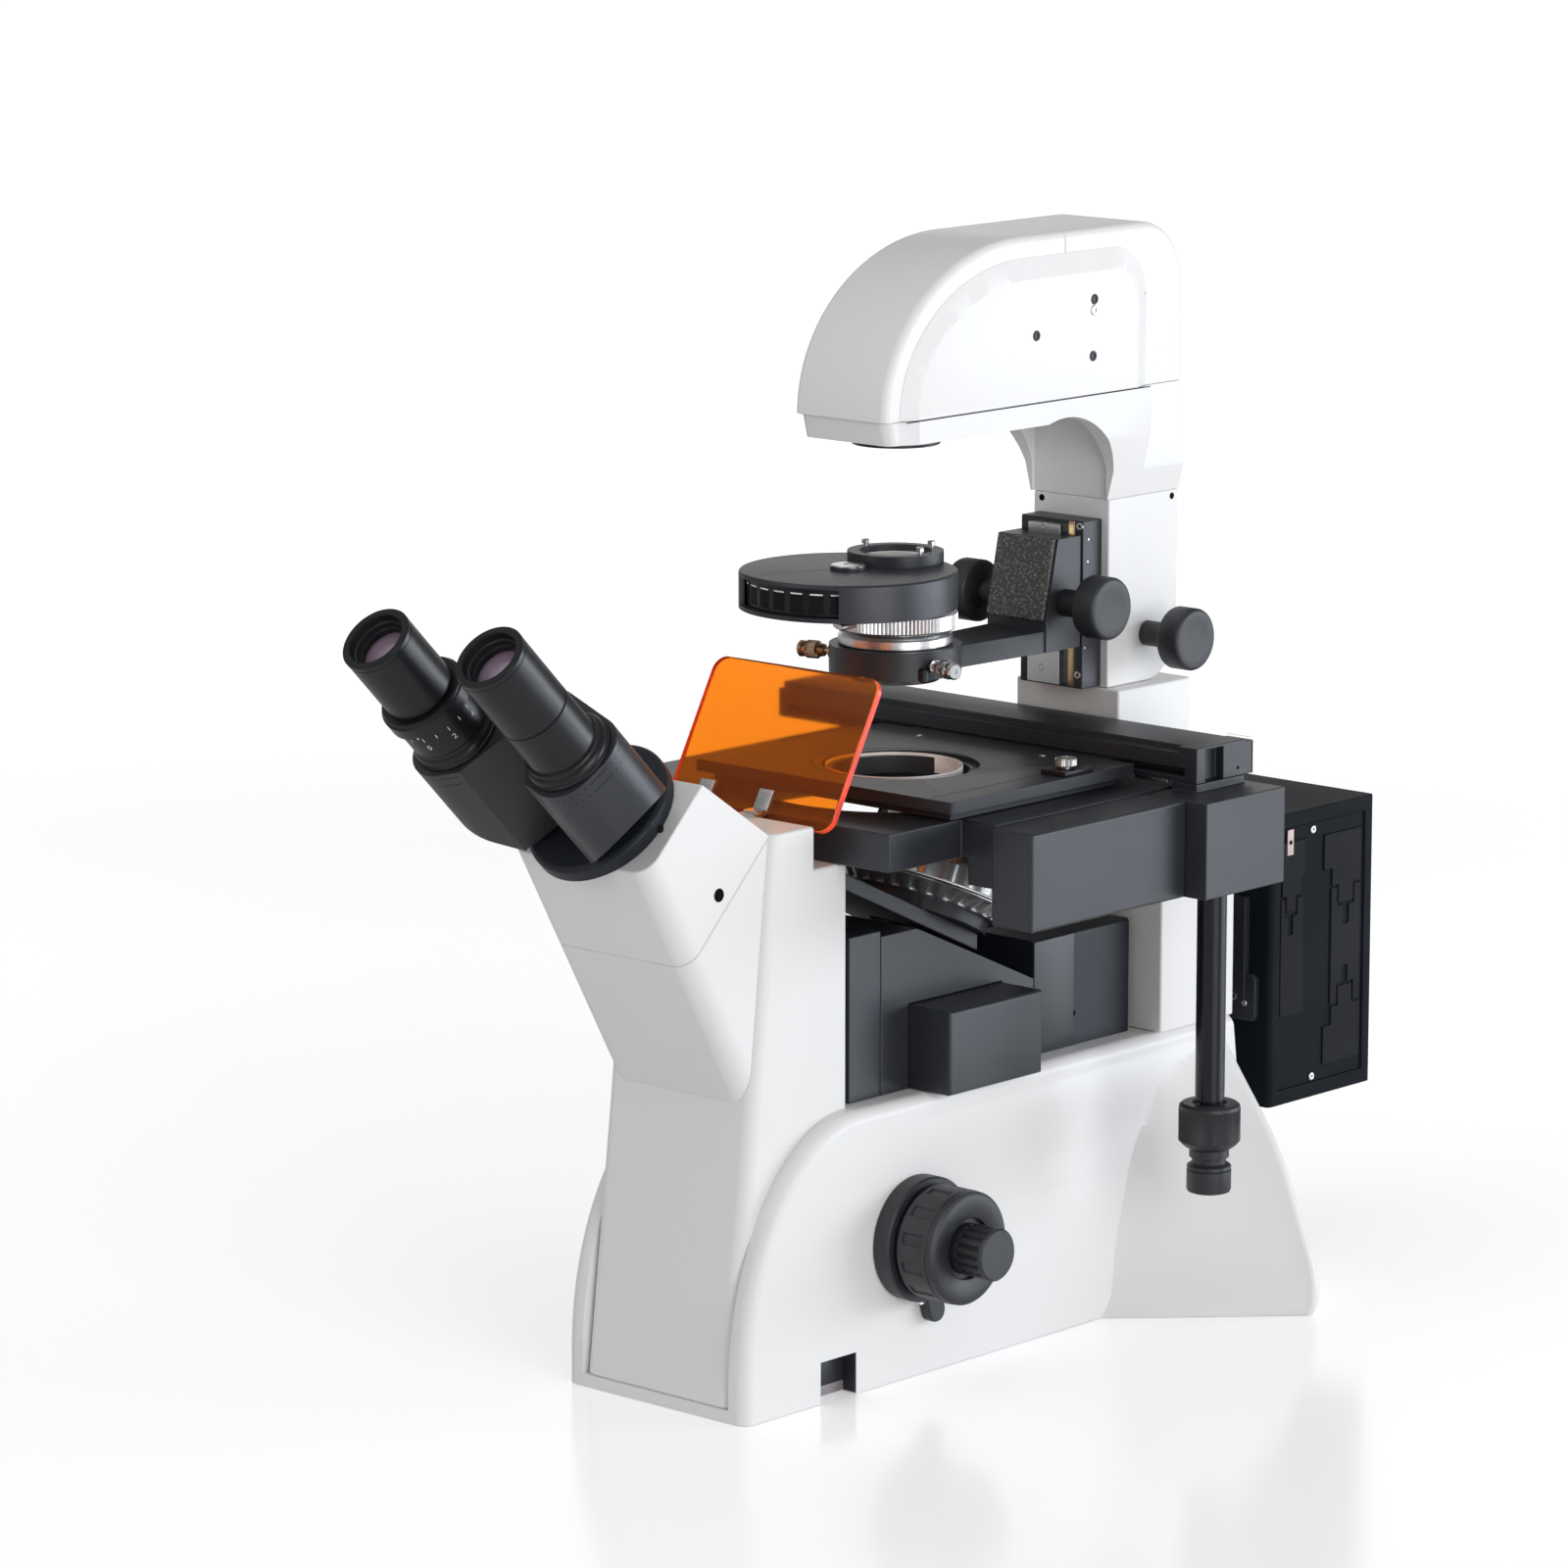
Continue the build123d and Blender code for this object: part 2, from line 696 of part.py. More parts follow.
def shield_clips():
    lean = radians(shield_lean)
    foot_y = shield_y - shield_height / 2 * sin(lean) - 4
    clips = []
    for x in clip_places:
        foot = box(x - 5, x + 5, pillar_step_y - 6, foot_y, pillar_top_z, pillar_top_z + 2)
        face = Rectangle(9, 12)
        tab = extrude(shield_place().offset(shield_thick / 2) * Pos(x, -shield_height / 2 + 10) * face, 2)
        low = box(x - 4.5, x + 4.5, pillar_step_y - 3, foot_y + 3, pillar_top_z, pillar_top_z + 3)
        clips.append(foot + low + tab)
    return Compound(clips)


# Illumination column and arm

def illumination_column():
    low = block_top_z + fit
    outline = [Polyline((mast_rear_y, tilt_z), (mast_rear_y, mast_top_z), (mast_front_y, mast_top_z),
                        (mast_front_y, low), (tilt_y, low)),
               RadiusArc((tilt_y, low), (mast_rear_y, tilt_z), -tilt_r + 0.5)]
    body = side_slab(make_face(outline), mast_half)
    body -= box(-tongue_half - fit, tongue_half + fit, tilt_y - tongue_r - fit, mast_rear_y + 5, low - 5, tilt_z)
    body -= rod((-tongue_half - fit, tilt_y, tilt_z), (1, 0, 0), tongue_r + fit, 2 * (tongue_half + fit))
    body -= rod((-mast_half - 1, tilt_y, tilt_z), (1, 0, 0), tilt_pin_r + running, 2 * mast_half + 2)
    return body


def tilt_clamp_knob():
    """The clamp knob's own shank is the pin that the column tilts about."""
    start = mast_half + fit
    body = rod((start, tilt_y, tilt_z), (1, 0, 0), clamp_neck_r, clamp_inner_x - start + 1)
    grip = rod((clamp_inner_x, tilt_y, tilt_z), (1, 0, 0), knob_r, clamp_outer_x - clamp_inner_x)
    body += fillet(grip.edges(), 1.5)
    return body + rod((-mast_half - 2, tilt_y, tilt_z), (1, 0, 0), tilt_pin_r, mast_half + 2 + start + 1)


def arch_edge():
    """The curve under the arm, from its level underside down to the column's front."""
    return ThreePointArc((arch_start_y, arm_low_z), (arch_start_y + 42, arm_low_z - 8), (arch_end_y, arch_end_z))


def arm_cheek():
    """The raised side of the arm below the seam, which carries the side panel's form down to the column."""
    faces = []
    for x, inset in ((arm_half - 1, side_panel_inset), (cheek_out_x, side_panel_inset + side_panel_band)):
        front = dome_centre_y - dome_half_length + inset
        rest = Polyline((arch_end_y, arch_end_z), (arch_end_y, mast_top_z + 0.2), (side_panel_rear_y - 12, mast_top_z + 0.2),
                        (side_panel_rear_y, arch_end_z), (side_panel_rear_y, seam_z), (front, seam_z),
                        (front, arm_low_z), (arch_start_y, arm_low_z))
        faces.append(Plane.YZ.offset(x) * make_face([arch_edge(), rest]))
    return loft(faces, ruled=True)


def arm_shell():
    lower = [Polyline((arm_front_y + 3, arm_low_z), (arch_start_y, arm_low_z)), arch_edge(),
             Polyline((arch_end_y, arch_end_z), (arch_end_y, mast_top_z + 0.2), (mast_rear_y, mast_top_z + 0.2),
                      (dome_rear_y, seam_z), (arm_front_y, seam_z), (arm_front_y + 3, arm_low_z))]
    body = side_slab(make_face(lower), arm_half)
    nose = [e for e in body.edges() if e.center().Y < arm_front_y + 3 and abs(e.center().X) > arm_half - 1
            and abs(e.center().Z - (seam_z + arm_low_z) / 2) < 2]
    body = fillet(nose, 6)
    cheek = arm_cheek()
    body += cheek
    body += mirrored(cheek)
    between = mast_half - 0.5
    body -= box(-between, between, lens_ring_r + 6, mast_front_y, mast_top_z, arm_low_z + 6)
    taper = make_face(Polyline((mast_half + 0.2, mast_top_z - 1), (cheek_out_x, cheek_low_z), (cheek_out_x + 20, cheek_low_z),
                               (cheek_out_x + 20, mast_top_z - 1), close=True))
    side_cut = extrude(Plane.XZ.offset(-dome_rear_y - 20) * taper, dome_rear_y + 20 - arm_front_y)
    body -= side_cut
    body -= mirrored(side_cut)
    body -= Cylinder(lens_r - 3, 2000)
    return body - Pos(0, 0, arm_low_z - 1) * Cylinder(lens_ring_r - 2 + 0.05, 7, align=(Align.CENTER, Align.CENTER, Align.MIN))


def dome_face(shrink=0.0, rear=None):
    """The arm's side view above its seam: half an ellipse in front, a level top, a rounded rear."""
    rear_y = (dome_rear_y if rear is None else rear) - shrink
    low = seam_z + 0.3
    top = low + dome_height - shrink
    turn = dome_rear_round - shrink / 2
    rise = EllipticalCenterArc((dome_centre_y, low), dome_half_length - shrink, top - low, 180, 90,
                               angular_direction=AngularDirection.CLOCKWISE)
    back = Polyline((rear_y, top - turn), (rear_y, low), (dome_centre_y - dome_half_length + shrink, low))
    crown = Line((dome_centre_y, top), (rear_y - turn, top))
    corner = RadiusArc((rear_y - turn, top), (rear_y, top - turn), turn)
    return make_face([rise, crown, corner, back])


def arm_cover():
    body = side_slab(dome_face(), arm_half + 1)
    rims = [e for e in body.edges() if abs(abs(e.center().X) - arm_half - 1) < 0.5 and e.center().Z > seam_z + 3]
    body = fillet(rims, 4)
    inner_half = arm_half + 1 - cover_wall
    body -= side_slab(dome_face(cover_wall), inner_half)
    return body - box(-inner_half, inner_half, dome_centre_y - dome_half_length + 2 * cover_wall,
                      dome_rear_y - cover_wall, seam_z - 1, seam_z + 1)


def arm_front_cover():
    return arm_cover() - box(-90, 90, cover_split_y - 0.2, 400, 0, 700)


def arm_rear_cover():
    return arm_cover() - box(-90, 90, -400, cover_split_y + 0.2, 0, 700)


def side_panel(side):
    wide = dome_face(side_panel_inset, side_panel_rear_y + side_panel_inset)
    narrow = dome_face(side_panel_inset + side_panel_band, side_panel_rear_y + side_panel_inset)
    start = arm_half + 1
    panel = loft([Plane.YZ.offset(start) * wide, Plane.YZ.offset(start + side_panel_proud) * narrow], ruled=True)
    return panel if side > 0 else mirrored(panel)


def arm_side_panels():
    return Compound([side_panel(1), side_panel(-1)])


def field_lens():
    ring = pipe((0, 0, lens_ring_low_z), (0, 0, 1), lens_ring_r, lens_r, arm_low_z - lens_ring_low_z)
    ring += pipe((0, 0, arm_low_z - 0.5), (0, 0, 1), lens_ring_r - 2, lens_r, 6)
    glass = rod((0, 0, lens_ring_low_z + 2.5), (0, 0, 1), lens_r, 4)
    return Compound([ring, glass])


def halogen_lamp():
    half, deep, tall = lamp_block
    front_y = lamp_rear_y_in_arm - deep
    socket_r, socket_length = bulb_socket
    bulb_r, bulb_length = bulb
    body = box(-half, half, front_y, lamp_rear_y_in_arm, seam_z, seam_z + tall)
    body += rod((0, front_y + 0.5, seam_z + lamp_axis_rise), (0, -1, 0), socket_r, socket_length)
    return body + rod((0, front_y - socket_length + 1, seam_z + lamp_axis_rise), (0, -1, 0), bulb_r, bulb_length)


def condenser_rail():
    body = box(-rail_half, rail_half, rail_front_y, mast_front_y, rail_low_z, rail_high_z)
    return body


def condenser_rack():
    outline = [(-rack_root_half, rail_front_y), (rack_root_half, rail_front_y), (rack_crest_half, rack_front_y),
               (-rack_crest_half, rack_front_y)]
    face = make_face(Polyline(*outline, close=True))
    return extrude(Plane.XY.offset(rail_low_z + 2) * face, rail_high_z - rail_low_z - 4)


# Condenser

def carrier_outline():
    return [(carrier_rear_y, carrier_top_z), (carrier_nose_top_y, carrier_top_z), (carrier_nose_low_y, carrier_bend_z),
            (carrier_nose_low_y, carrier_low_z), (carrier_rear_y, carrier_low_z)]


def condenser_carrier():
    body = side_slab(carrier_outline(), carrier_half)
    arm = [(-15, 26), (15, 26), (18.6, carrier_nose_low_y + 1), (-18.6, carrier_nose_low_y + 1)]
    body += extrude(Plane.XY.offset(carrier_low_z) * make_face(Polyline(*arm, close=True)), 11)
    groove = [(-rack_root_half - fit, carrier_rear_y + 1), (rack_root_half + fit, carrier_rear_y + 1),
              (rack_crest_half + 2 * fit, rack_front_y - fit), (-rack_crest_half - 2 * fit, rack_front_y - fit)]
    body -= extrude(Plane.XY.offset(carrier_low_z - 1) * make_face(Polyline(*groove, close=True)), 80)
    body -= Cylinder(holder_r, 2000)
    body -= rod((-knob_outer_x, pinion_y, pinion_z), (1, 0, 0), coarse_shaft_r + 0.2 + running, 2 * knob_outer_x)
    return body


def carrier_cover():
    lean = Vector(0, carrier_nose_low_y - carrier_nose_top_y, carrier_bend_z - carrier_top_z)
    out = Vector(0, lean.Z, -lean.Y).normalized()
    if out.Y > 0:
        out = -out
    t = out * cover_thick
    outline = [(carrier_nose_top_y, carrier_top_z), (carrier_nose_low_y, carrier_bend_z),
               (carrier_nose_low_y + t.Y, carrier_bend_z + t.Z), (carrier_nose_top_y + t.Y, carrier_top_z + t.Z)]
    return side_slab(outline, carrier_half - 1)


def condenser_knobs():
    body = rod((-knob_inner_x, pinion_y, pinion_z), (1, 0, 0), pinion_r, 2 * knob_inner_x)
    for side in (1, -1):
        grip = rod((side * knob_inner_x, pinion_y, pinion_z), (side, 0, 0), knob_r, knob_outer_x - knob_inner_x)
        body += fillet(grip.edges(), 1.5)
        body += rod((side * (carrier_half + fit), pinion_y, pinion_z), (side, 0, 0), 7,
                    knob_inner_x - carrier_half - fit + 1)
    return body


def condenser_holder():
    body = pipe((0, 0, holder_low_z), (0, 0, 1), holder_r, barrel_r + running, holder_high_z - holder_low_z)
    for angle in screw_angles():
        way = Vector(cos(radians(angle)), sin(radians(angle)), 0)
        body -= rod(way * (barrel_r - 3) + Vector(0, 0, screw_z), way, 2.55, 20)
    return body


def screw_angles():
    return (195.0, -15.0)


def centring_screws():
    screws = []
    for angle in screw_angles():
        way = Vector(cos(radians(angle)), sin(radians(angle)), 0)
        at = way * (barrel_r + 0.5) + Vector(0, 0, screw_z)
        screw = rod(at, way, 2.5, 22)
        grip = way * (holder_r + 9) + Vector(0, 0, screw_z)
        screw += fillet(rod(grip, way, 5, 14).edges(), 0.8)
        screws.append(screw)
    return Compound(screws)


def condenser_barrel():
    shoulder = holder_high_z + 0.3
    top = turret_low_z
    profile = [(light_r, barrel_low_z), (barrel_r - 4, barrel_low_z), (barrel_r, barrel_low_z + 4),
               (barrel_r, shoulder), (silver_ring_r, shoulder), (silver_ring_r, aperture_low_z - 1.5),
               (neck_r, aperture_low_z - 1.5), (neck_r, top), (light_r, top)]
    return turned(profile)


def aperture_ring():
    outer = pipe((0, 0, aperture_low_z), (0, 0, 1), aperture_ring_r, neck_r + running, aperture_high_z - aperture_low_z)
    ridge = (aperture_high_z - aperture_low_z) / 2 + aperture_low_z
    return outer + rod((0, -aperture_ring_r + 2, ridge), (0, -1, 0), 1.8, 12)


def turret_case():
    height = turret_high_z - turret_low_z
    body = Pos(0, turret_y, turret_low_z) * Cylinder(turret_case_r, height, align=(Align.CENTER, Align.CENTER, Align.MIN))
    body = fillet(body.edges().group_by(Axis.Z)[-1], 1.5)
    room = height - 2 * turret_wall
    floor = turret_low_z + turret_wall
    body -= Pos(0, turret_y, floor) * Cylinder(turret_case_r - turret_wall, room, align=(Align.CENTER, Align.CENTER, Align.MIN))
    reach = 2 * turret_case_r
    span = radians(turret_window)
    mouth = make_face(Polyline((0, 0), (-reach * sin(span), -reach * cos(span)), (reach * sin(span), -reach * cos(span)),
                               close=True))
    mouth = mouth & Circle(reach)
    inner = Circle(turret_case_r - 12)
    body -= extrude(Plane(origin=(0, turret_y, floor)) * (mouth - inner), room)
    body += Pos(0, turret_y, floor) * Cylinder(4, room, align=(Align.CENTER, Align.CENTER, Align.MIN))
    body += Pos(0, turret_y, turret_high_z - 0.5) * Cylinder(9, 2, align=(Align.CENTER, Align.CENTER, Align.MIN))
    body += pipe((0, 0, turret_high_z - 0.5), (0, 0, 1), annulus_r, annulus_r - 6, annulus_high_z - turret_high_z + 0.5)
    body -= Pos(0, 0, turret_low_z) * Cylinder(light_r, 3 * (annulus_high_z - turret_low_z))
    return body


def turret_disc():
    low = turret_low_z + turret_wall + fit
    height = turret_high_z - turret_low_z - 2 * turret_wall - 2 * fit
    body = Pos(0, turret_y, low) * Cylinder(turret_disc_r, height, align=(Align.CENTER, Align.CENTER, Align.MIN))
    for n in range(5):
        angle = radians(90 + 72 * n)
        body -= Pos(-turret_y * cos(angle), turret_y - turret_y * sin(angle), low) * Cylinder(light_r - 1, 60)
    return body - Pos(0, turret_y, low) * Cylinder(4 + running, 60)


# Focus

def focus_guide():
    return box(-guide_half, guide_half, cavity_front_y, cavity_front_y + guide_depth, 20, ledge_z - 5)


def nose_axis():
    return Vector(0, sin(radians(nose_tilt)), cos(radians(nose_tilt)))


def nose_apex():
    """Where all the objectives' axes meet, on the optical axis."""
    return Vector(0, 0, nose_z - nose_y / sin(radians(nose_tilt)) * cos(radians(nose_tilt)))


def nose_place(height):
    """A plane across the nosepiece axis, that far above the turret's middle."""
    at = Vector(0, nose_y, nose_z) + nose_axis() * height
    return Plane(origin=(at.X, at.Y, at.Z), x_dir=(1, 0, 0), z_dir=nose_axis())


def nosepiece_arm():
    start = cavity_front_y + 0.6
    slope = sin(radians(nose_tilt)) / cos(radians(nose_tilt))
    under = -nose_thick / 2 - fit - nose_base_thick
    seat = Vector(0, nose_y, nose_z) + nose_axis() * under
    drop = arm_plate_thick / cos(radians(nose_tilt))
    face_z = lambda y: seat.Z + (seat.Y - y) * slope
    post = box(-slide_half, slide_half, start, slide_rear_y, slide_low_z, face_z(slide_rear_y) - drop + 1)
    post -= box(-guide_half - fit, guide_half + fit, start - 1, cavity_front_y + guide_depth + fit,
                slide_low_z - 1, ledge_z)
    post += box(-5, 5, slide_rear_y - 1, focus_y - focus_pitch_r, focus_z - 22, focus_z + 22)
    rear = seat.Y + 18
    plate = side_slab([(start, face_z(start) - drop), (start, face_z(start)), (rear, face_z(rear)),
                       (rear, face_z(rear) - drop)], arm_plate_half)
    round_base = extrude(nose_place(under) * Circle(nose_base_r), nose_base_thick)
    pivot = extrude(nose_place(-nose_thick / 2 - 1) * Circle(nose_pivot_r), nose_thick + 1)
    return post + plate + round_base + pivot - Cylinder(path_r, 2000)


def nosepiece_turret():
    body = extrude(nose_place(-nose_thick / 2) * Circle(nose_r), nose_thick)
    body = chamfer(body.edges(), 2)
    body -= extrude(nose_place(-nose_thick) * Circle(nose_pivot_r + running), 3 * nose_thick)
    for n in range(nose_places):
        apex, way = objective_line(n)
        body += rod(apex + way * (objective_seat() - 9), way, objective_r + 1.5, 9)
    for n in range(nose_places):
        apex, way = objective_line(n)
        body -= rod(apex, way, shank_r + running, 90)
        body -= rod(apex + way * objective_seat(), way, objective_r + fit, 40)
    return body


def objective_line(n):
    apex = nose_apex()
    way = Vector(0, 0, 1).rotate(Axis((0, 0, 0), nose_axis().to_tuple()), 360 / nose_places * n)
    return apex, way


def objective_seat():
    """How far from the common apex an objective's shoulder sits, just clear of the turret's face."""
    face = (Vector(0, nose_y, nose_z) + nose_axis() * (nose_thick / 2) - nose_apex()).dot(nose_axis())
    return face / cos(radians(nose_tilt)) + 2


def objectives():
    """Five objectives on a cone about the nosepiece axis, the working one upright."""
    seat = objective_seat()
    tip = objective_tip_z - nose_apex().Z
    group = []
    for n in range(nose_places):
        at, way = objective_line(n)
        length = tip - seat - (0, 1.5, 3, 5, 8)[n]
        profile = [(3, seat - 8), (shank_r, seat - 8), (shank_r, seat), (objective_r, seat),
                   (objective_r, seat + length * 0.55), (objective_r - 2, seat + length * 0.6),
                   (objective_tip_r + 2, seat + length * 0.9), (objective_tip_r, seat + length), (3, seat + length)]
        group.append(turned(profile, at, way))
    return Compound(group)


def coarse_knobs():
    body = rod((-coarse_inner_x, focus_y, focus_z), (1, 0, 0), coarse_shaft_r, 2 * coarse_inner_x)
    body += rod((-5, focus_y, focus_z), (1, 0, 0), focus_pinion_r, 10)
    for side in (1, -1):
        grip = rod((side * coarse_inner_x, focus_y, focus_z), (side, 0, 0), coarse_r, coarse_outer_x - coarse_inner_x)
        grip = chamfer(grip.edges(), 1.5)
        body += grip
    return body - rod((-fine_outer_x, focus_y, focus_z), (1, 0, 0), fine_shaft_r + running, 2 * fine_outer_x)


def fine_knobs():
    body = rod((-fine_outer_x, focus_y, focus_z), (1, 0, 0), fine_shaft_r, 2 * fine_outer_x)
    for side in (1, -1):
        start = coarse_outer_x + fit
        grip = rod((side * start, focus_y, focus_z), (side, 0, 0), fine_r, fine_outer_x - start)
        grip = chamfer(grip.edges(), 0.8)
        for n in range(16):
            angle = radians(360 / 16 * n)
            at = (side * start, focus_y + (fine_r + 0.6) * cos(angle), focus_z + (fine_r + 0.6) * sin(angle))
            grip -= rod(at, (side, 0, 0), 1.3, 12)
        body += grip
    return body


def tension_ring():
    start = base_half + fit
    body = pipe((start, focus_y, focus_z), (1, 0, 0), tension_r, bush_r + running, tension_outer_x - start)
    reach = Rot(15, 0, 0)
    tab = box(start, start + 5, -6, 6, -tension_r - 14, -tension_r + 4)
    tab = fillet(tab.edges().filter_by(Axis.X).group_by(Axis.Z)[0], 5)
    return body + Pos(0, focus_y, focus_z) * reach * tab


# Fluorescence unit

def focus_channel():
    body = box(-unit_half, unit_half, channel_front_y, channel_rear_y, ledge_z, channel_top_z)
    return body - box(-channel_half, channel_half, channel_front_y - 1, channel_rear_y - 1.6, ledge_z - 1, channel_top_z + 1)


def filter_housing():
    outline = [(channel_rear_y + fit, ledge_z), (channel_rear_y + fit, unit_top_z), (unit_break_y, unit_top_z),
               (unit_rear_y, unit_rear_z), (unit_rear_y, ledge_z)]
    body = side_slab(outline, unit_half)
    body -= box(-unit_half - 1, unit_half + 1, drawer_front_y - fit, drawer_rear_y + fit, ledge_z - 1, drawer_top_z + fit)
    body -= Cylinder(path_r, 2000)
    return body - rod((0, 0, beam_z), (0, 1, 0), 14, unit_rear_y + 1)


def filter_drawer():
    low = ledge_z + 0.4
    body = box(drawer_left_x, drawer_outer_x, drawer_front_y, drawer_rear_y, low, drawer_top_z)
    edge = body.edges().group_by(Axis.X)[-1]
    body = fillet(edge, 1.5)
    for n in range(2):
        at = n * cube_pitch
        body -= box(at - cube_size / 2 - 0.2, at + cube_size / 2 + 0.2, -cube_size / 2 - 0.2, cube_size / 2 + 0.2,
                    low + drawer_floor, drawer_top_z + 1)
        body -= Pos(at, 0, low) * Cylinder(9, 20)
        body -= rod((at, 0, beam_z), (0, 1, 0), 9, drawer_rear_y + 1)
    return body


def filter_cubes():
    cubes = []
    low = ledge_z + 0.4 + drawer_floor
    for n in range(2):
        at = n * cube_pitch
        half = cube_size / 2
        cube = box(at - half, at + half, -half, half, low, low + cube_height)
        cube -= Pos(at, 0, low) * Cylinder(9, 3 * cube_height)
        cubes.append(cube - rod((at, 0, beam_z), (0, 1, 0), 9, half + 1))
    return Compound(cubes)


def illuminator_case():
    body = box(-rear_case_half, rear_case_half, unit_rear_y + fit, rear_case_rear_y, ledge_z, rear_case_top_z)
    body = fillet(body.edges().group_by(Axis.Z)[-1].filter_by(Axis.Y), 2)
    return body - rod((0, unit_rear_y - 5, beam_z), (0, 1, 0), beam_tube_r + fit, 100)


def illuminator_tube():
    body = pipe((0, unit_rear_y + fit, beam_z), (0, 1, 0), beam_tube_r, beam_bore_r, lamp_front_y - unit_rear_y - fit)
    for y in (column_rear_y, lamp_front_y - 4):
        plate = box(-flange_half, flange_half, y, y + 4, ledge_z + fit, ledge_z + flange_height)
        body += plate - rod((0, y - 1, beam_z), (0, 1, 0), beam_bore_r, 6)
    return body


def lamp_house():
    body = box(-lamp_half, lamp_half, lamp_front_y, lamp_rear_y, lamp_low_z, lamp_high_z)
    body = fillet(body.edges().filter_by(Axis.Z), 3)
    w = lamp_wall
    body -= box(-lamp_half + w, lamp_half - w, lamp_front_y + w, lamp_rear_y - w, lamp_low_z + w, lamp_high_z - w)
    body -= rod((0, lamp_front_y - 1, beam_z), (0, 1, 0), beam_bore_r, w + 2)
    for side in (1, -1):
        near, far = sorted((side * (lamp_half - lamp_recess), side * (lamp_half + 1)))
        body -= box(near, far, lamp_front_y + lamp_rim, lamp_rear_y - lamp_rim, lamp_low_z + lamp_rim, lamp_high_z - lamp_rim)
    inset = lamp_depth * lamp_vent_inset
    return body - box(-lamp_vent_half, lamp_vent_half, lamp_front_y + inset, lamp_rear_y - inset,
                      lamp_low_z - 1, lamp_low_z + w + 1)


def fold_mirror():
    low = plate_recess + plate_thick
    return side_slab([(-mirror_rise / 2, low), (mirror_rise / 2, low), (mirror_rise / 2, low + mirror_rise)], mirror_half)


def nodes():
    return {
        "base_casting": base_casting(), "rubber_pads": rubber_pads(), "bottom_plate": bottom_plate(),
        "front_pillar": front_pillar(), "head_housing": head_housing(), "front_cover": front_cover(),
        "rear_column": rear_column(), "stage_slab": stage_slab(), "focus_guide": focus_guide(),
        "fold_mirror": fold_mirror(),
        "binocular_mount": binocular_mount(), "right_prism_case": right_prism_case(),
        "left_prism_case": left_prism_case(), "right_tube": right_tube(), "left_tube": left_tube(),
        "diopter_ring": diopter_ring(), "right_eyepiece": eyepiece(1), "left_eyepiece": eyepiece(-1),
        "right_eye_lens": eye_lens(1), "left_eye_lens": eye_lens(-1),
        "orange_shield": orange_shield(), "shield_clips": shield_clips(),
        "focus_channel": focus_channel(), "filter_housing": filter_housing(), "filter_drawer": filter_drawer(),
        "filter_cubes": filter_cubes(), "illuminator_case": illuminator_case(),
        "illuminator_tube": illuminator_tube(), "lamp_house": lamp_house(),
        "illumination_column": illumination_column(), "tilt_clamp_knob": tilt_clamp_knob(),
        "arm_shell": arm_shell(), "arm_front_cover": arm_front_cover(), "arm_rear_cover": arm_rear_cover(),
        "arm_side_panels": arm_side_panels(), "field_lens": field_lens(),
        "halogen_lamp": halogen_lamp(),
        "condenser_rail": condenser_rail(), "condenser_rack": condenser_rack(),
        "condenser_carrier": condenser_carrier(), "carrier_cover": carrier_cover(),
        "condenser_knobs": condenser_knobs(), "condenser_holder": condenser_holder(),
        "centring_screws": centring_screws(), "condenser_barrel": condenser_barrel(),
        "aperture_ring": aperture_ring(), "turret_case": turret_case(), "turret_disc": turret_disc(),
        "y_carriage": y_carriage(), "drive_housing": drive_housing(), "x_guide_bar": x_guide_bar(),
        "specimen_plate": specimen_plate(), "y_knob": y_knob(), "x_knob": x_knob(),
        "nosepiece_arm": nosepiece_arm(), "nosepiece_turret": nosepiece_turret(), "objectives": objectives(),
        "coarse_knobs": coarse_knobs(), "fine_knobs": fine_knobs(), "tension_ring": tension_ring(),
    }


os.makedirs("parts", exist_ok=True)
for name, shape in nodes().items():
    export_step(shape, f"parts/{name}.step")
    print(name, round(shape.volume / 1000, 1), "cm3")
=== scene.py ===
import bpy
import bmesh
import json
import numpy as np
from math import cos, pi, radians, sin, sqrt
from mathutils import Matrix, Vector

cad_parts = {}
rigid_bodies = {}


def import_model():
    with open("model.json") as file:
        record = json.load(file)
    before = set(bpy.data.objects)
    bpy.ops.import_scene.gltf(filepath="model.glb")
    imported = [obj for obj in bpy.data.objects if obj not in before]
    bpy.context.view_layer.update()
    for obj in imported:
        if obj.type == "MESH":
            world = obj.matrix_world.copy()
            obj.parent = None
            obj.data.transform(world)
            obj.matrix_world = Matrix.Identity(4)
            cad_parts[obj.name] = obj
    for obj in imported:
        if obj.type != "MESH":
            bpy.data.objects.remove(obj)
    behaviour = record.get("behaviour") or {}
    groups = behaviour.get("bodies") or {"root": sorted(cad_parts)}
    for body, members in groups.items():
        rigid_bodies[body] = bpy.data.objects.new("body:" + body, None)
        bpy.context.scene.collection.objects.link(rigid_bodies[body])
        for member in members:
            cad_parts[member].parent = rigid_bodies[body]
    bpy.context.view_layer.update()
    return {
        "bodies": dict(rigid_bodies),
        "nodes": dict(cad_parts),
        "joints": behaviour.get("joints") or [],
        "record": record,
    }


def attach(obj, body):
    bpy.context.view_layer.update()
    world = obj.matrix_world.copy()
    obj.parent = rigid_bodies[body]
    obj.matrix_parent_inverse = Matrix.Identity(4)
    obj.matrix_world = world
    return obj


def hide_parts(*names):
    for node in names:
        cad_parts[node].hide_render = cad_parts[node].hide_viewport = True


mm = 0.001

print("loading the frame")
for leftover in list(bpy.data.objects):
    bpy.data.objects.remove(leftover)
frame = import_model()
bodyOf = {node: body for body, nodes in frame["record"]["behaviour"]["bodies"].items() for node in nodes}
slotOf = {part["node"]: part["material_slot"] for part in frame["record"]["subparts"]}


# Numbers on a line or a circle, in millimetres until they reach a mesh

def arr(values):
    return np.array(values, dtype=float)


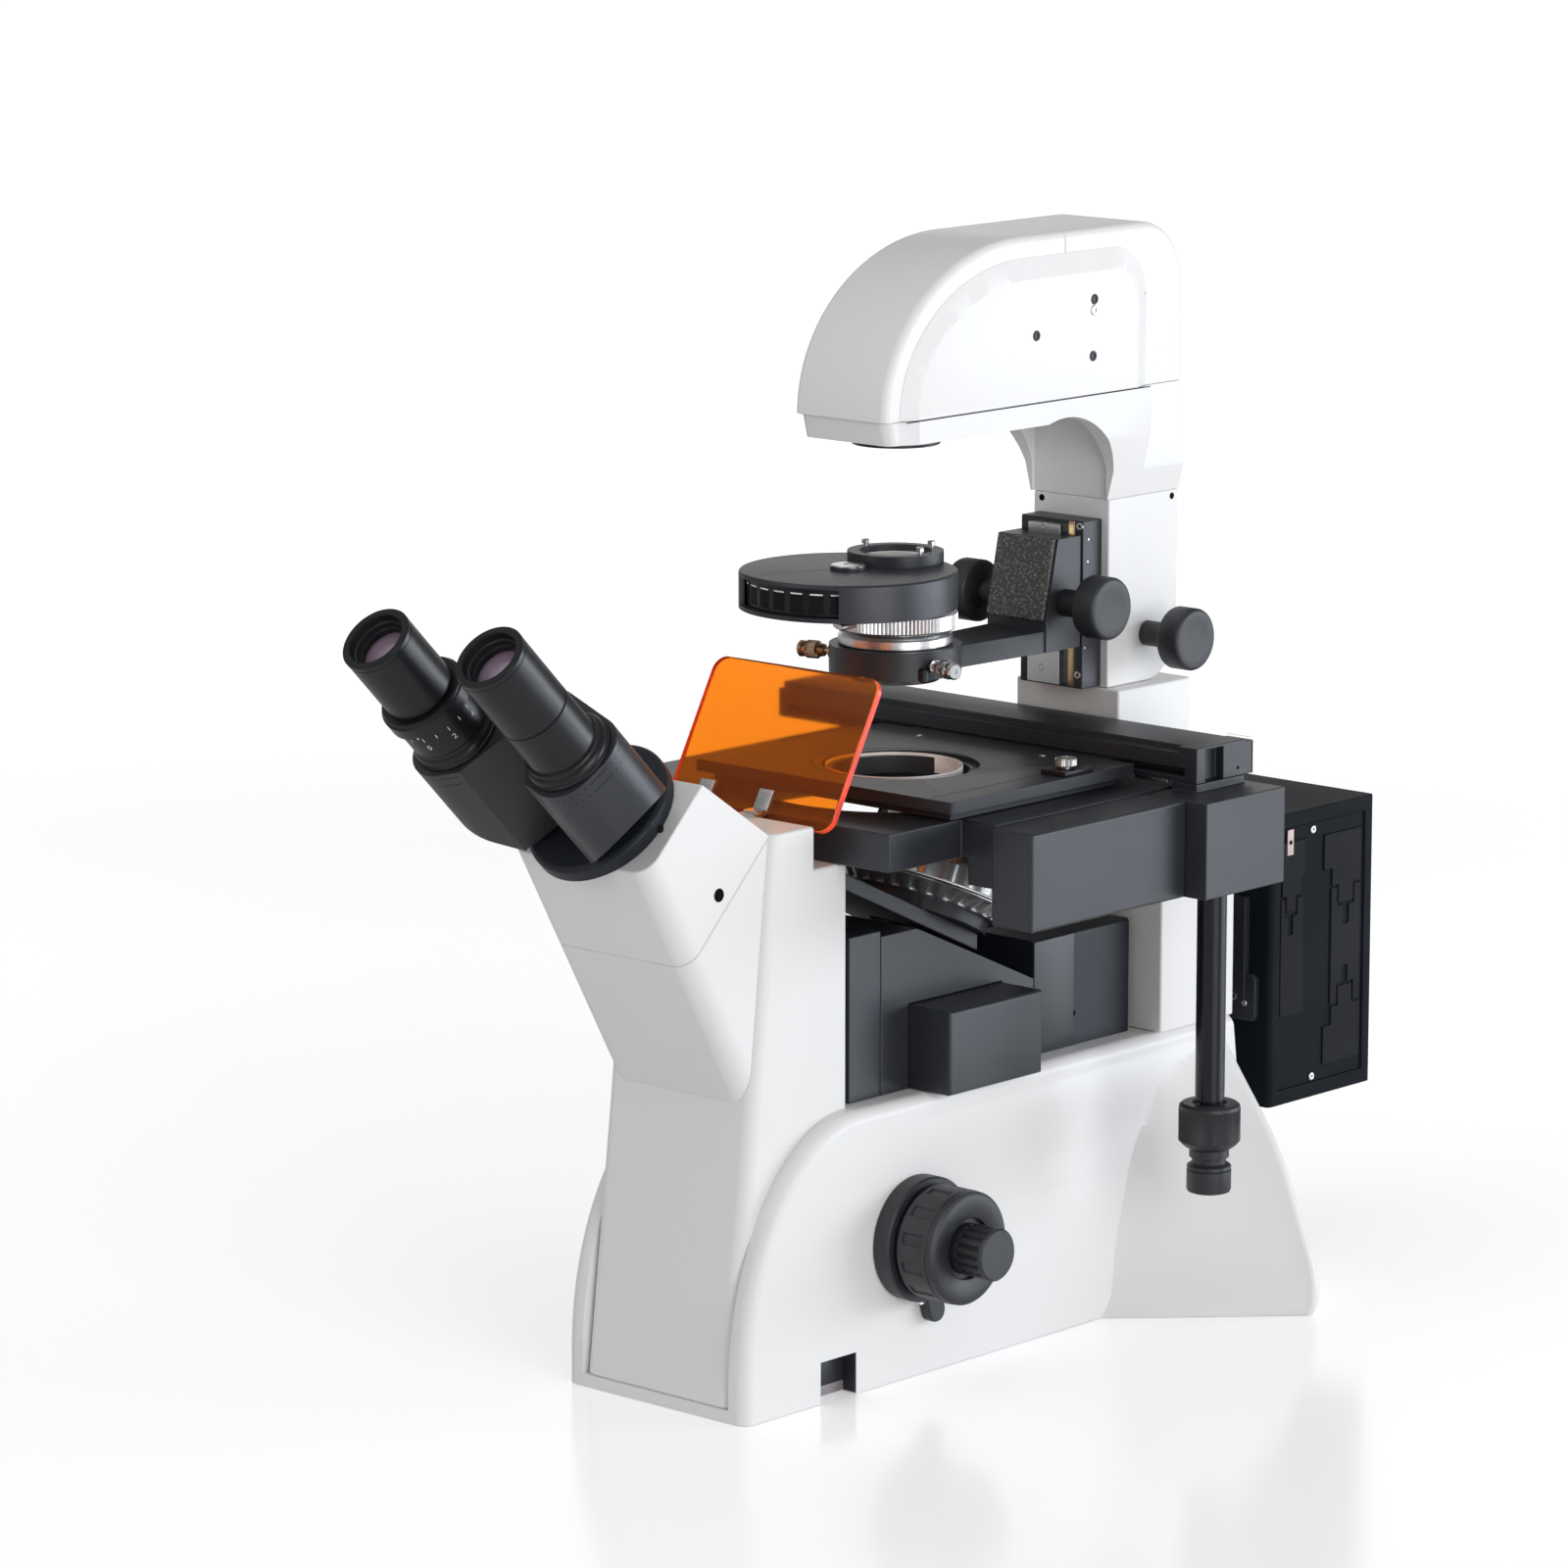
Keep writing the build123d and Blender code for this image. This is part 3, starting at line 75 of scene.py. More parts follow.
def unit(vector):
    vector = arr(vector)
    return vector / np.linalg.norm(vector)


def across(along):
    # two directions square to a line: the first is level, so a dial's zero has a known place
    along = unit(along)
    side = np.cross([0, 0, 1], along)
    if np.linalg.norm(side) < 1e-6:
        side = arr([1, 0, 0])
    side = unit(side)
    return side, np.cross(along, side)


# Shader sockets that can be added, multiplied and so on

class Wire:
    def __init__(self, tree, socket):
        self.tree = tree
        self.socket = socket

    def make(self, kind, settings=None, inputs=None, output=0):
        node = self.tree.nodes.new(kind)
        for key, value in (settings or {}).items():
            setattr(node, key, value)
        for key, value in (inputs or {}).items():
            if isinstance(value, Wire):
                self.tree.links.new(value.socket, node.inputs[key])
            else:
                node.inputs[key].default_value = value
        return Wire(self.tree, node.outputs[output])

    def math(self, operation, *others):
        values = [self, *others]
        return self.make("ShaderNodeMath", {"operation": operation}, dict(enumerate(values)))

    def __add__(self, other):
        return self.math("ADD", other)

    def __sub__(self, other):
        return self.math("SUBTRACT", other)

    def __rsub__(self, other):
        return self.make("ShaderNodeMath", {"operation": "SUBTRACT"}, {0: other, 1: self})

    def __mul__(self, other):
        return self.math("MULTIPLY", other)

    def above(self, level, soft):
        # 0 under the level, 1 over it, with a soft step between
        return self.make("ShaderNodeMapRange", {"interpolation_type": "SMOOTHSTEP"},
                         {"Value": self, "From Min": level - soft, "From Max": level + soft})

    def noise(self, scale, detail=2.0, rough=0.5):
        return self.make("ShaderNodeTexNoise", None,
                         {"Vector": self, "Scale": scale, "Detail": detail, "Roughness": rough})


def mixed(mask, first, second):
    # one colour into another by a mask
    start = mask.make("ShaderNodeMix", {"data_type": "RGBA"})
    node = start.socket.node
    mask.tree.links.new(mask.socket, node.inputs["Factor"])
    for key, value in ((6, first), (7, second)):
        if isinstance(value, Wire):
            mask.tree.links.new(value.socket, node.inputs[key])
        else:
            node.inputs[key].default_value = (*value, 1.0)
    return Wire(mask.tree, node.outputs[2])


def newFinish(name, base, rough, **fixed):
    # a material with its shader's own sockets set; returns it, its shader and its Object coordinates
    material = bpy.data.materials.new(name)
    material.use_nodes = True
    tree = material.node_tree
    shader = tree.nodes["Principled BSDF"]
    shader.inputs["Base Color"].default_value = (*base, 1.0)
    shader.inputs["Roughness"].default_value = rough
    for key, value in fixed.items():
        shader.inputs[key.replace("_", " ")].default_value = value
    material.diffuse_color = (*base, 1.0)
    place = Wire(tree, tree.nodes.new("ShaderNodeTexCoord").outputs["Object"])
    return material, shader, place


def feed(shader, name, wire):
    wire.tree.links.new(wire.socket, shader.inputs[name])


def bumped(shader, height, strength, distance):
    feed(shader, "Normal",
         height.make("ShaderNodeBump", None, {"Strength": strength, "Distance": distance, "Height": height}))


# Finishes

print("finishes")

whitePaint = {"base": (0.82, 0.82, 0.815), "warm": (0.805, 0.802, 0.79), "rough": 0.38, "grain": 900.0,
              "grainDepth": 0.00005, "cloud": 9.0}


def makeWhitePaint(name, base, warm, rough, grain, grainDepth, cloud):
    # satin enamel: a faint orange-peel skin, tone and gloss that drift a little over the casting
    material, shader, place = newFinish(name, base, rough, Specular_IOR_Level=0.3, Coat_Weight=0.07,
                                        Coat_Roughness=0.22)
    drift = place.noise(cloud, 3.0)
    feed(shader, "Base Color", mixed(drift.above(0.5, 0.3), base, warm))
    feed(shader, "Roughness", drift * 0.10 + (rough - 0.05))
    peel = place.noise(grain, 2.0)
    bumped(shader, peel + place.noise(grain * 0.22, 1.0) * 0.6, 0.22, grainDepth)
    return material


blackPaint = {"base": (0.020, 0.0225, 0.028), "worn": (0.028, 0.031, 0.038), "rough": 0.40}


def makeBlackPaint(name, base, worn, rough, grain=1500.0, grainDepth=0.00006, **fixed):
    # fine-textured satin black on machined castings, a shade greyer where hands have polished it
    material, shader, place = newFinish(name, base, rough, **fixed)
    drift = place.noise(14.0, 4.0)
    feed(shader, "Base Color", mixed(drift.above(0.55, 0.22), base, worn))
    feed(shader, "Roughness", drift * -0.12 + (rough + 0.06))
    bumped(shader, place.noise(grain, 2.0) + place.noise(grain * 0.35, 2.0), 0.35, grainDepth)
    return material


# the ridge colour is a painted highlight on the crackle's peaks
wrinklePaint = {"base": (0.066, 0.066, 0.064), "ridgeHighlight": (0.25, 0.25, 0.235), "rough": 0.32, "size": 620.0,
                "depth": 0.0006}


def makeWrinklePaint(name, base, ridgeHighlight, rough, size, depth):
    # crackle paint: rounded ridges with dark valleys between them, where the ridges' paler colour is a
    # painted highlight and the darker valleys are painted shade; the bump gives the real relief
    material, shader, place = newFinish(name, base, rough)
    wander = place.noise(size * 0.8, 2.0)
    cells = place.make("ShaderNodeTexVoronoi", {"feature": "SMOOTH_F1"},
                       {"Vector": place, "Scale": size, "Smoothness": 0.7}, "Distance")
    ridge = (cells * 1.3 + wander * 0.5).above(0.62, 0.35)
    feed(shader, "Base Color", mixed(ridge, ridgeHighlight, base))
    feed(shader, "Roughness", ridge * 0.25 + rough)
    bumped(shader, 1 - ridge, 0.9, depth)
    return material


anodised = {"base": (0.012, 0.013, 0.015), "rough": 0.33}


def makeAnodised(name, base, rough, grain=2600.0, **fixed):
    # anodised aluminium: a tight metallic sheen with the lathe's fine lines around it
    material, shader, place = newFinish(name, base, rough, Metallic=0.12, Specular_IOR_Level=0.38, **fixed)
    fine = place.noise(grain, 2.0)
    drift = place.noise(35.0, 3.0)
    feed(shader, "Roughness", fine * 0.08 + drift * 0.10 + (rough - 0.09))
    bumped(shader, fine, 0.18, 0.00003)
    return material


knobPlastic = {"base": (0.020, 0.0215, 0.025), "rough": 0.46, "grain": 1800.0}


def makeKnobPlastic(name, base, rough, grain=900.0, **fixed):
    # moulded plastic with a spark-eroded matt skin
    material, shader, place = newFinish(name, base, rough, **fixed)
    spark = place.noise(grain, 3.0, 0.6)
    feed(shader, "Roughness", spark * 0.16 + (rough - 0.08))
    feed(shader, "Base Color",
         mixed(place.noise(60.0, 3.0).above(0.55, 0.2), base, tuple(1.5 * c for c in base)))
    bumped(shader, spark, 0.5, 0.00008)
    return material


brightMetal = {"base": (0.72, 0.72, 0.71), "rough": 0.22, "brush": 700.0}


def makeBrightMetal(name, base, rough, brush, stretch=(1, 1, 14)):
    # machined metal: brush marks are noise squeezed along one way
    material, shader, place = newFinish(name, base, rough, Metallic=1.0)
    squeezed = place.make("ShaderNodeVectorMath", {"operation": "MULTIPLY"}, {0: place, 1: stretch})
    marks = squeezed.noise(brush, 3.0)
    feed(shader, "Roughness", marks * 0.18 + (rough - 0.06))
    feed(shader, "Base Color", mixed(marks.above(0.5, 0.4), base, tuple(0.86 * c for c in base)))
    bumped(shader, marks, 0.2, 0.00003)
    return material


rubberFinish = {"base": (0.020, 0.020, 0.021), "rough": 0.78, "grain": 1300.0}


def makeRubber(name, base, rough, grain):
    material, shader, place = newFinish(name, base, rough)
    feed(shader, "Roughness", place.noise(80.0, 3.0) * 0.2 + (rough - 0.1))
    bumped(shader, place.noise(grain, 3.0), 0.4, 0.0001)
    return material


orangeSheet = {"base": (1.0, 0.26, 0.010), "rough": 0.05}


def makeOrangeSheet(name, base, rough):
    # clear orange acrylic: light that crosses it takes its colour, with faint wipe marks in the gloss
    material, shader, place = newFinish(name, base, rough, Transmission_Weight=0.93, IOR=1.30)
    wipe = place.make("ShaderNodeVectorMath", {"operation": "MULTIPLY"}, {0: place, 1: (1, 6, 6)})
    feed(shader, "Roughness", wipe.noise(30.0, 4.0) * 0.06 + (rough - 0.02))
    return material


clearGlass = {"base": (0.93, 0.95, 0.96), "rough": 0.02}


def makeGlass(name, base, rough):
    material, shader, place = newFinish(name, base, rough, Transmission_Weight=0.95, IOR=1.5)
    feed(shader, "Roughness", place.noise(50.0, 3.0) * 0.03 + rough)
    return material


finishes = {
    "white_paint": makeWhitePaint("whitePaint", **whitePaint),
    "black_paint": makeBlackPaint("blackPaint", **blackPaint),
    "wrinkle_black": makeWrinklePaint("wrinklePaint", **wrinklePaint),
    "black_anodised": makeAnodised("blackAnodised", **anodised),
    "black_knob": makeKnobPlastic("knobPlastic", **knobPlastic),
    "bright_steel": makeBrightMetal("brightSteel", **brightMetal),
    "chrome": makeBrightMetal("chrome", (0.80, 0.80, 0.80), 0.12, 500.0),
    "silver_ring": makeBrightMetal("silverRing", (0.78, 0.78, 0.79), 0.26, 800.0, (1, 1, 20)),
    "rubber": makeRubber("padRubber", **rubberFinish),
    "orange_acrylic": makeOrangeSheet("orangeSheet", **orangeSheet),
    "glass": makeGlass("clearGlass", **clearGlass),
    "satin_chrome": makeBrightMetal("satinChrome", (0.86, 0.86, 0.86), 0.36, 500.0),
    "mirror": makeBrightMetal("foldMirror", (0.9, 0.9, 0.9), 0.05, 300.0),
    "lamp_socket": makeBlackPaint("lampSocket", (0.62, 0.60, 0.55), (0.55, 0.52, 0.46), 0.5, 900.0, 0.00008),
    "lens_coating": makeAnodised("coatedLens", (0.34, 0.24, 0.33), 0.12,
                                 Coat_Weight=1.0, Coat_Roughness=0.03),
    "prism_paint": makeBlackPaint("prismPaint", (0.028, 0.030, 0.034), (0.037, 0.039, 0.044), 0.42),
    "dark_gap": makeKnobPlastic("darkGap", (0.004, 0.004, 0.005), 0.8, Specular_IOR_Level=0.06),
    # a painted glow for the orange sheet's cut edges
    "painted_edge_glow": makeKnobPlastic("paintedEdgeGlow", (0.80, 0.060, 0.022), 0.3),
    # a darker copy of the black paint: painted shade
    "deep_paint": makeBlackPaint("paintedShadeBlack", (0.012, 0.015, 0.021), (0.017, 0.020, 0.027), 0.45,
                                 Specular_IOR_Level=0.3),
    "gloss_black": makeAnodised("glossBlack", (0.010, 0.011, 0.015), 0.17),
    "pale_liner": makeKnobPlastic("paleLiner", (0.82, 0.82, 0.80), 0.35),
    "dial_print": makeKnobPlastic("dialPrint", (0.75, 0.75, 0.74), 0.6),
    "bronze": makeBrightMetal("bronze", (0.55, 0.38, 0.24), 0.28, 700.0),
    "brass": makeBrightMetal("brass", (0.72, 0.52, 0.28), 0.34, 600.0),
    "lamp_paint": makeBlackPaint("lampPaint", (0.007, 0.009, 0.012), (0.010, 0.012, 0.016), 0.5,
                                 Specular_IOR_Level=0.05),
    "vent_paint": makeBlackPaint("ventPaint", (0.009, 0.010, 0.012), (0.013, 0.014, 0.016), 0.5,
                                 Specular_IOR_Level=0.08),
    "notch_sill": makeKnobPlastic("notchSill", (0.20, 0.18, 0.19), 0.45),
    "pink_tag": makeKnobPlastic("pinkTag", (0.52, 0.40, 0.40), 0.5),
}


# How pieces are put together

slotNames = {entry["slot"] for entry in frame["record"]["materials"]}


def settle(piece, body, finish, *nodes, slot=None):
    piece.data.materials.clear()
    piece.data.materials.append(finishes[finish])
    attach(piece, body)
    if nodes:
        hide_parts(*nodes)
    slot or finish in slotNames
    return piece


def placed(name, mesh, angle):
    # a smooth mesh that keeps its sharp edges, put into the scene
    mesh.shade_smooth()
    mesh.set_sharp_from_angle(angle=radians(angle))
    piece = bpy.data.objects.new(name, mesh)
    bpy.context.collection.objects.link(piece)
    return piece


def newPiece(name, points, faces, angle=35):
    # points in millimetres, faces as one array of quads or a list of any polygons
    mesh = bpy.data.meshes.new(name)
    mesh.from_pydata((np.asarray(points) * mm).tolist(), [], [tuple(int(i) for i in face) for face in faces])
    mesh.validate()
    tidy = bmesh.new()
    tidy.from_mesh(mesh)
    bmesh.ops.remove_doubles(tidy, verts=tidy.verts, dist=1e-7)
    bmesh.ops.recalc_face_normals(tidy, faces=tidy.faces)
    tidy.to_mesh(mesh)
    tidy.free()
    return placed(name, mesh, angle)


def gridFaces(rows, columns, wrapRows, wrapColumns, offset=0):
    # quads between neighbouring rows and columns of a grid of points
    r = np.arange(rows if wrapRows else rows - 1)
    c = np.arange(columns if wrapColumns else columns - 1)
    r, c = np.meshgrid(r, c, indexing="ij")
    rNext, cNext = (r + 1) % rows, (c + 1) % columns
    quads = np.stack([r * columns + c, r * columns + cNext, rNext * columns + cNext,
                      rNext * columns + c], axis=-1)
    return quads.reshape(-1, 4) + offset


def cappedRows(name, rows, angle=35):
    # rows of points round one closed outline, with a flat face over each end
    rows = arr(rows)
    steps, count = rows.shape[:2]
    faces = gridFaces(steps, count, False, True).tolist()
    faces += [list(range(count))[::-1], list(range((steps - 1) * count, steps * count))]
    return newPiece(name, rows.reshape(-1, 3), faces, angle)


def around(radius, height, *steps):
    # profile points as steps from one corner: how far out and how far up
    return [(radius + out, height + up) for out, up in steps]


def turnedSkin(name, profile, at, along, turns=96, ripple=None, angle=35):
    # radius and height of each profile point are carried round a line;
    # a ripple adds to the radius by angle and height
    profile = arr(profile)
    theta = np.linspace(0, 2 * pi, turns, endpoint=False)
    radius = profile[:, 0][:, None] * np.ones_like(theta)[None, :]
    height = profile[:, 1][:, None] * np.ones_like(theta)[None, :]
    if ripple is not None:
        radius = radius + ripple(theta[None, :], height)
    side, up = across(along)
    points = (arr(at) + height[..., None] * unit(along) + (radius * np.cos(theta))[..., None] * side
              + (radius * np.sin(theta))[..., None] * up)
    if np.allclose(profile[0], profile[-1]):
        # a profile that comes back to its start is a closed ring and needs no ends
        return newPiece(name, points[:-1].reshape(-1, 3),
                        gridFaces(len(points) - 1, turns, True, True), angle)
    return cappedRows(name, points, angle)


def joined(name, pieces):
    # several meshes as one piece
    bpy.ops.object.select_all(action="DESELECT")
    for piece in pieces:
        piece.select_set(True)
    bpy.context.view_layer.objects.active = pieces[0]
    if len(pieces) > 1:
        bpy.ops.object.join()
    pieces[0].name = name
    return pieces[0]


def block(name, low, high, soft=0.4):
    # a box between two corners with its edges rounded
    low, high = arr(low), arr(high)
    mesh = bpy.data.meshes.new(name)
    made = bmesh.new()
    bmesh.ops.create_cube(made, size=1.0)
    for vertex in made.verts:
        vertex.co = Vector((low + (arr(vertex.co) + 0.5) * (high - low)) * mm)
    bmesh.ops.bevel(made, geom=made.edges[:], offset=soft * mm, segments=3, profile=0.5, affect="EDGES")
    made.to_mesh(mesh)
    made.free()
    return placed(name, mesh, 40)


def cutPlate(name, outline, at, side, up, thick, soft=0.2):
    # a plate cut to an outline;
    # each corner of its front is drawn in along the shared normal of its two edges
    outline = arr(outline)
    edges = (outline - np.roll(outline, 1, axis=0), np.roll(outline, -1, axis=0) - outline)
    outward = [np.stack([e[:, 1], -e[:, 0]], axis=1) / np.linalg.norm(e, axis=1)[:, None] for e in edges]
    share = (outward[0] + outward[1]) / (1 + (outward[0] * outward[1]).sum(axis=1))[:, None]
    side, up = unit(side), unit(up)
    way = np.cross(side, up)
    rows = []
    for inset, height in ((0, 0), (0, thick - soft), (soft, thick)):
        flat = outline - share * inset
        rows.append(arr(at) + flat[:, :1] * side + flat[:, 1:] * up + height * way)
    return cappedRows(name, rows, 30)


def roundedOutline(low, high, radius):
    # a rectangle's outline with quarter circles at its corners
    steps = 6
    corners = ((high[0] - radius, low[1] + radius, -pi / 2), (high[0] - radius, high[1] - radius, 0),
               (low[0] + radius, high[1] - radius, pi / 2), (low[0] + radius, low[1] + radius, pi))
    return [(x + radius * cos(start + pi / 2 * n / steps), y + radius * sin(start + pi / 2 * n / steps))
            for x, y, start in corners for n in range(steps + 1)]


def seamLine(name, body, points, way, width, lift):
    # a parting line: a narrow dark strip just over the surface
    points = arr(points)
    ways = arr(way) * np.ones_like(points)
    rows = []
    for n, point in enumerate(points):
        along = unit(points[min(n + 1, len(points) - 1)] - points[max(n - 1, 0)])
        outward = unit(ways[n])
        aside = np.cross(outward, along) * width / 2
        rows.append([point + aside + lift * outward, point - aside + lift * outward])
    strip = newPiece(name, arr(rows).reshape(-1, 3), gridFaces(len(rows), 2, False, False))
    return settle(strip, body, "dark_gap")


# Every solid of the frame, with its edges softened

edgeSoftness = {
    "front_pillar": 1.6, "head_housing": 1.6, "front_cover": 1.0, "base_casting": 1.6, "rear_column": 1.4,
    "illumination_column": 1.2, "arm_shell": 1.2, "arm_front_cover": 0.8, "arm_rear_cover": 0.8,
    "arm_side_panels": 1.4, "orange_shield": 0.9, "stage_slab": 0.8, "drive_housing": 1.4, "y_carriage": 1.4,
    "lamp_house": 2.2, "filter_drawer": 1.0, "filter_housing": 0.9, "focus_channel": 0.6, "x_guide_bar": 0.9,
    "specimen_plate": 0.6, "right_prism_case": 1.6, "left_prism_case": 1.2, "condenser_carrier": 1.0,
    "turret_case": 0.6, "condenser_holder": 0.6, "binocular_mount": 0.8, "illuminator_case": 1.0,
    "illuminator_tube": 0.5, "nosepiece_arm": 0.8, "condenser_rail": 0.5, "condenser_rack": 0.25,
    "carrier_cover": 0.9, "shield_clips": 0.25, "bottom_plate": 0.5, "rubber_pads": 0.5, "focus_guide": 0.4,
    "fold_mirror": 0.3, "filter_cubes": 0.4, "turret_disc": 0.3, "field_lens": 0.3, "halogen_lamp": 0.3,
}
# the illuminator case and the binocular mount take the darker black: painted shade for the shadow the case
# sits in and for the dark crescent under the prism cases
ownFinish = {"lamp_house": "lamp_paint", "condenser_rack": "silver_ring", "illuminator_case": "deep_paint",
             "binocular_mount": "deep_paint", "left_prism_case": "prism_paint"}


edgeWork = {"merge": 2e-6, "flat": 0.4, "sharp": 32, "segments": 3}


def dressedNode(node, softness, merge, flat, sharp, segments):
    # the node's own form, welded, with rounded edges that catch the light
    name = node + "_dressed"
    mesh = frame["nodes"][node].data.copy()
    mesh.name = name
    weld = bmesh.new()
    weld.from_mesh(mesh)
    bmesh.ops.remove_doubles(weld, verts=weld.verts, dist=merge)
    bmesh.ops.dissolve_limit(weld, angle_limit=radians(flat), verts=weld.verts, edges=weld.edges)
    weld.to_mesh(mesh)
    weld.free()
    piece = placed(name, mesh, sharp)
    soft = piece.modifiers.new("soft edges", "BEVEL")
    soft.limit_method = "ANGLE"
    soft.angle_limit = radians(sharp)
    soft.width = softness * mm
    soft.segments = segments
    soft.harden_normals = True
    return piece


print("softening the frame's edges")
for node in frame["nodes"]:
    frame["nodes"][node].data.materials.clear()
    frame["nodes"][node].data.materials.append(finishes[slotOf[node]])
for node, softness in edgeSoftness.items():
    settle(dressedNode(node, softness, **edgeWork), bodyOf[node], ownFinish.get(node, slotOf[node]), node,
           slot=slotOf[node])


def makeShieldEdges():
    # the cut edges carry a painted glow, the colour that light piped through the sheet gives them:
    # every face that looks away from the broad face's normal takes the painted glow colour
    faces = bpy.data.objects["orange_shield_dressed"].data
    faces.materials.append(finishes["painted_edge_glow"])
    broad = max(faces.polygons, key=lambda polygon: polygon.area).normal.copy()
    for polygon in faces.polygons:
        polygon.material_index = int(abs(polygon.normal.dot(broad)) < 0.7)


makeShieldEdges()


# Floor, light and camera

studio = {"floor": (0.93, 0.93, 0.93), "floorRough": 0.14, "lift": 0.28, "farLift": 0.80,
          "fade": (1.7, 1.3), "reach": 9000, "sunk": -0.3, "world": 0.41, "glossWorld": 0.26,
          "lamps": {"keyLight": (63.0, (3.5, -1.0, 0.9), (0, 0.0, 0.2), (2.4, 2.4), (0.99, 0.99, 1.0)),
                    "topLight": (12.0, (-0.6, -1.4, 3.0), (0, 0, 0.4), (3.0, 3.0), (1.0, 1.0, 1.0)),
                    "frontLight": (14.0, (-0.8, -3.5, 1.9), (0, 0, 0.4), (2.0, 2.0), (1.0, 1.0, 0.97)),
                    "sheenLight": (52.0, (2.3, 2.5, 0.55), (0, 0, 0.25), (2.6, 0.9), (0.86, 0.91, 1.0)),
                    "backLight": (6.5, (-2.3, 2.5, 0.95), (0, 0, 0.3), (2.6, 0.9), (1.0, 1.0, 0.98))}}


def makeStudio(floor, floorRough, lift, farLift, fade, reach, sunk, world, glossWorld, lamps):
    # paper-white surroundings for the camera, a dimmer sky for the object and its reflections
    scene = bpy.context.scene
    scene.view_settings.view_transform = "Standard"
    sky = bpy.data.worlds.new("studio")
    scene.world = sky
    sky.use_nodes = True
    tree = sky.node_tree
    back = tree.nodes["Background"]
    rays = tree.nodes.new("ShaderNodeLightPath")
    seen = Wire(tree, rays.outputs["Is Camera Ray"]).math("MAXIMUM",
                                                          Wire(tree, rays.outputs["Is Transmission Ray"]))
    glossy = Wire(tree, rays.outputs["Is Glossy Ray"])
    back.inputs["Color"].default_value = (1, 1, 1, 1)
    level = seen.math("MAXIMUM", (1 - seen) * (glossy * (glossWorld - world) + world))
    tree.links.new(level.socket, back.inputs["Strength"])

    plane = newPiece("studioFloor", [(-reach, -reach, sunk), (reach, -reach, sunk), (reach, reach, sunk),
                                     (-reach, reach, sunk)], [(0, 1, 2, 3)])
    material, shader, place = newFinish("floorFinish", floor, floorRough, Specular_IOR_Level=0.35,
                                        Emission_Strength=1.0)
    feed(shader, "Roughness", place.noise(1.5, 2.0) * 0.04 + floorRough)
    # a lift that only the camera sees, directly or through clear pieces, and that grows with the distance:
    # the lit floor turns paper white and the shadows near the object stay
    rays = material.node_tree.nodes.new("ShaderNodeLightPath")
    direct = Wire(material.node_tree, rays.outputs["Is Camera Ray"])
    direct = direct.math("MAXIMUM", Wire(material.node_tree, rays.outputs["Is Transmission Ray"]))
    distance = place.make("ShaderNodeVectorMath", {"operation": "LENGTH"}, {0: place}, "Value")
    feed(shader, "Emission Color", direct * (distance.above(*fade) * (farLift - lift) + lift))
    plane.data.materials.append(material)

    for name, (power, at, aim, size, colour) in lamps.items():
        light = bpy.data.lights.new(name, "AREA")
        light.shape = "RECTANGLE"
        light.size, light.size_y = size
        light.energy = power
        light.color = colour
        lamp = bpy.data.objects.new(name, light)
        lamp.location = at
        lamp.rotation_euler = (Vector(aim) - Vector(at)).to_track_quat("-Z", "Y").to_euler()
        bpy.context.collection.objects.link(lamp)


photoView = {"azimuth": 42.4, "elevation": 10.9, "distance": 3.3034, "target": (-0.0407, -0.0372, 0.2825),
             "lens": 152.37, "sensor": 36.0, "farEnd": 50}


def makeCamera(azimuth, elevation, distance, target, lens, sensor, farEnd):
    az, el = radians(azimuth), radians(elevation)
    away = Vector((sin(az) * cos(el), -cos(az) * cos(el), sin(el)))
    data = bpy.data.cameras.new("photoCamera")
    data.sensor_width = sensor
    data.sensor_fit = "HORIZONTAL"
    data.lens = lens
    data.clip_end = farEnd
    camera = bpy.data.objects.new("photoCamera", data)
    camera.location = Vector(target) + away * distance
    camera.rotation_euler = (-away).to_track_quat("-Z", "Y").to_euler()
    bpy.context.collection.objects.link(camera)
    bpy.context.scene.camera = camera


print("studio and camera")
makeStudio(**studio)
makeCamera(**photoView)


# Binocular: tubes, eyepieces, dioptre ring and lenses

hinge = {"at": arr([0, -208, 296]), "along": unit([0, -1, 1]), "reach": 39.2, "fold": radians(18.9)}


def tubeFoot(side):
    # where a tube's axis leaves the hinge's own plane
    level = hinge["reach"] * arr([side * cos(hinge["fold"]), -sin(hinge["fold"])])
    return hinge["at"] + level[0] * arr([1, 0, 0]) + level[1] * unit([0, 1, 1])


def knurl(count, depth, low, high):
    # straight knurling between two heights: a rounded saw round the rim
    def ripple(theta, height):
        wave = np.abs(((theta * count / (2 * pi)) % 1.0) * 2 - 1)
        return depth * (wave - 1) * ((height > low) & (height < high))
    return ripple


def ringTicks(name, at, along, radius, angles, low, high, width):
    # short painted lines along a cylinder, each a thin curved patch just over its skin
    side, up = across(along)
    points, faces = [], []
    columns = 2 + int(width / radius / 0.03)
    for angle in angles:
        span = angle + np.linspace(-0.5, 0.5, columns) * width / radius
        skin = arr(at) + radius * (np.cos(span)[:, None] * side + np.sin(span)[:, None] * up)
        faces += gridFaces(2, columns, False, False, len(points)).tolist()
        points += [point + height * unit(along) for height in (low, high) for point in skin]
    return newPiece(name, points, faces)


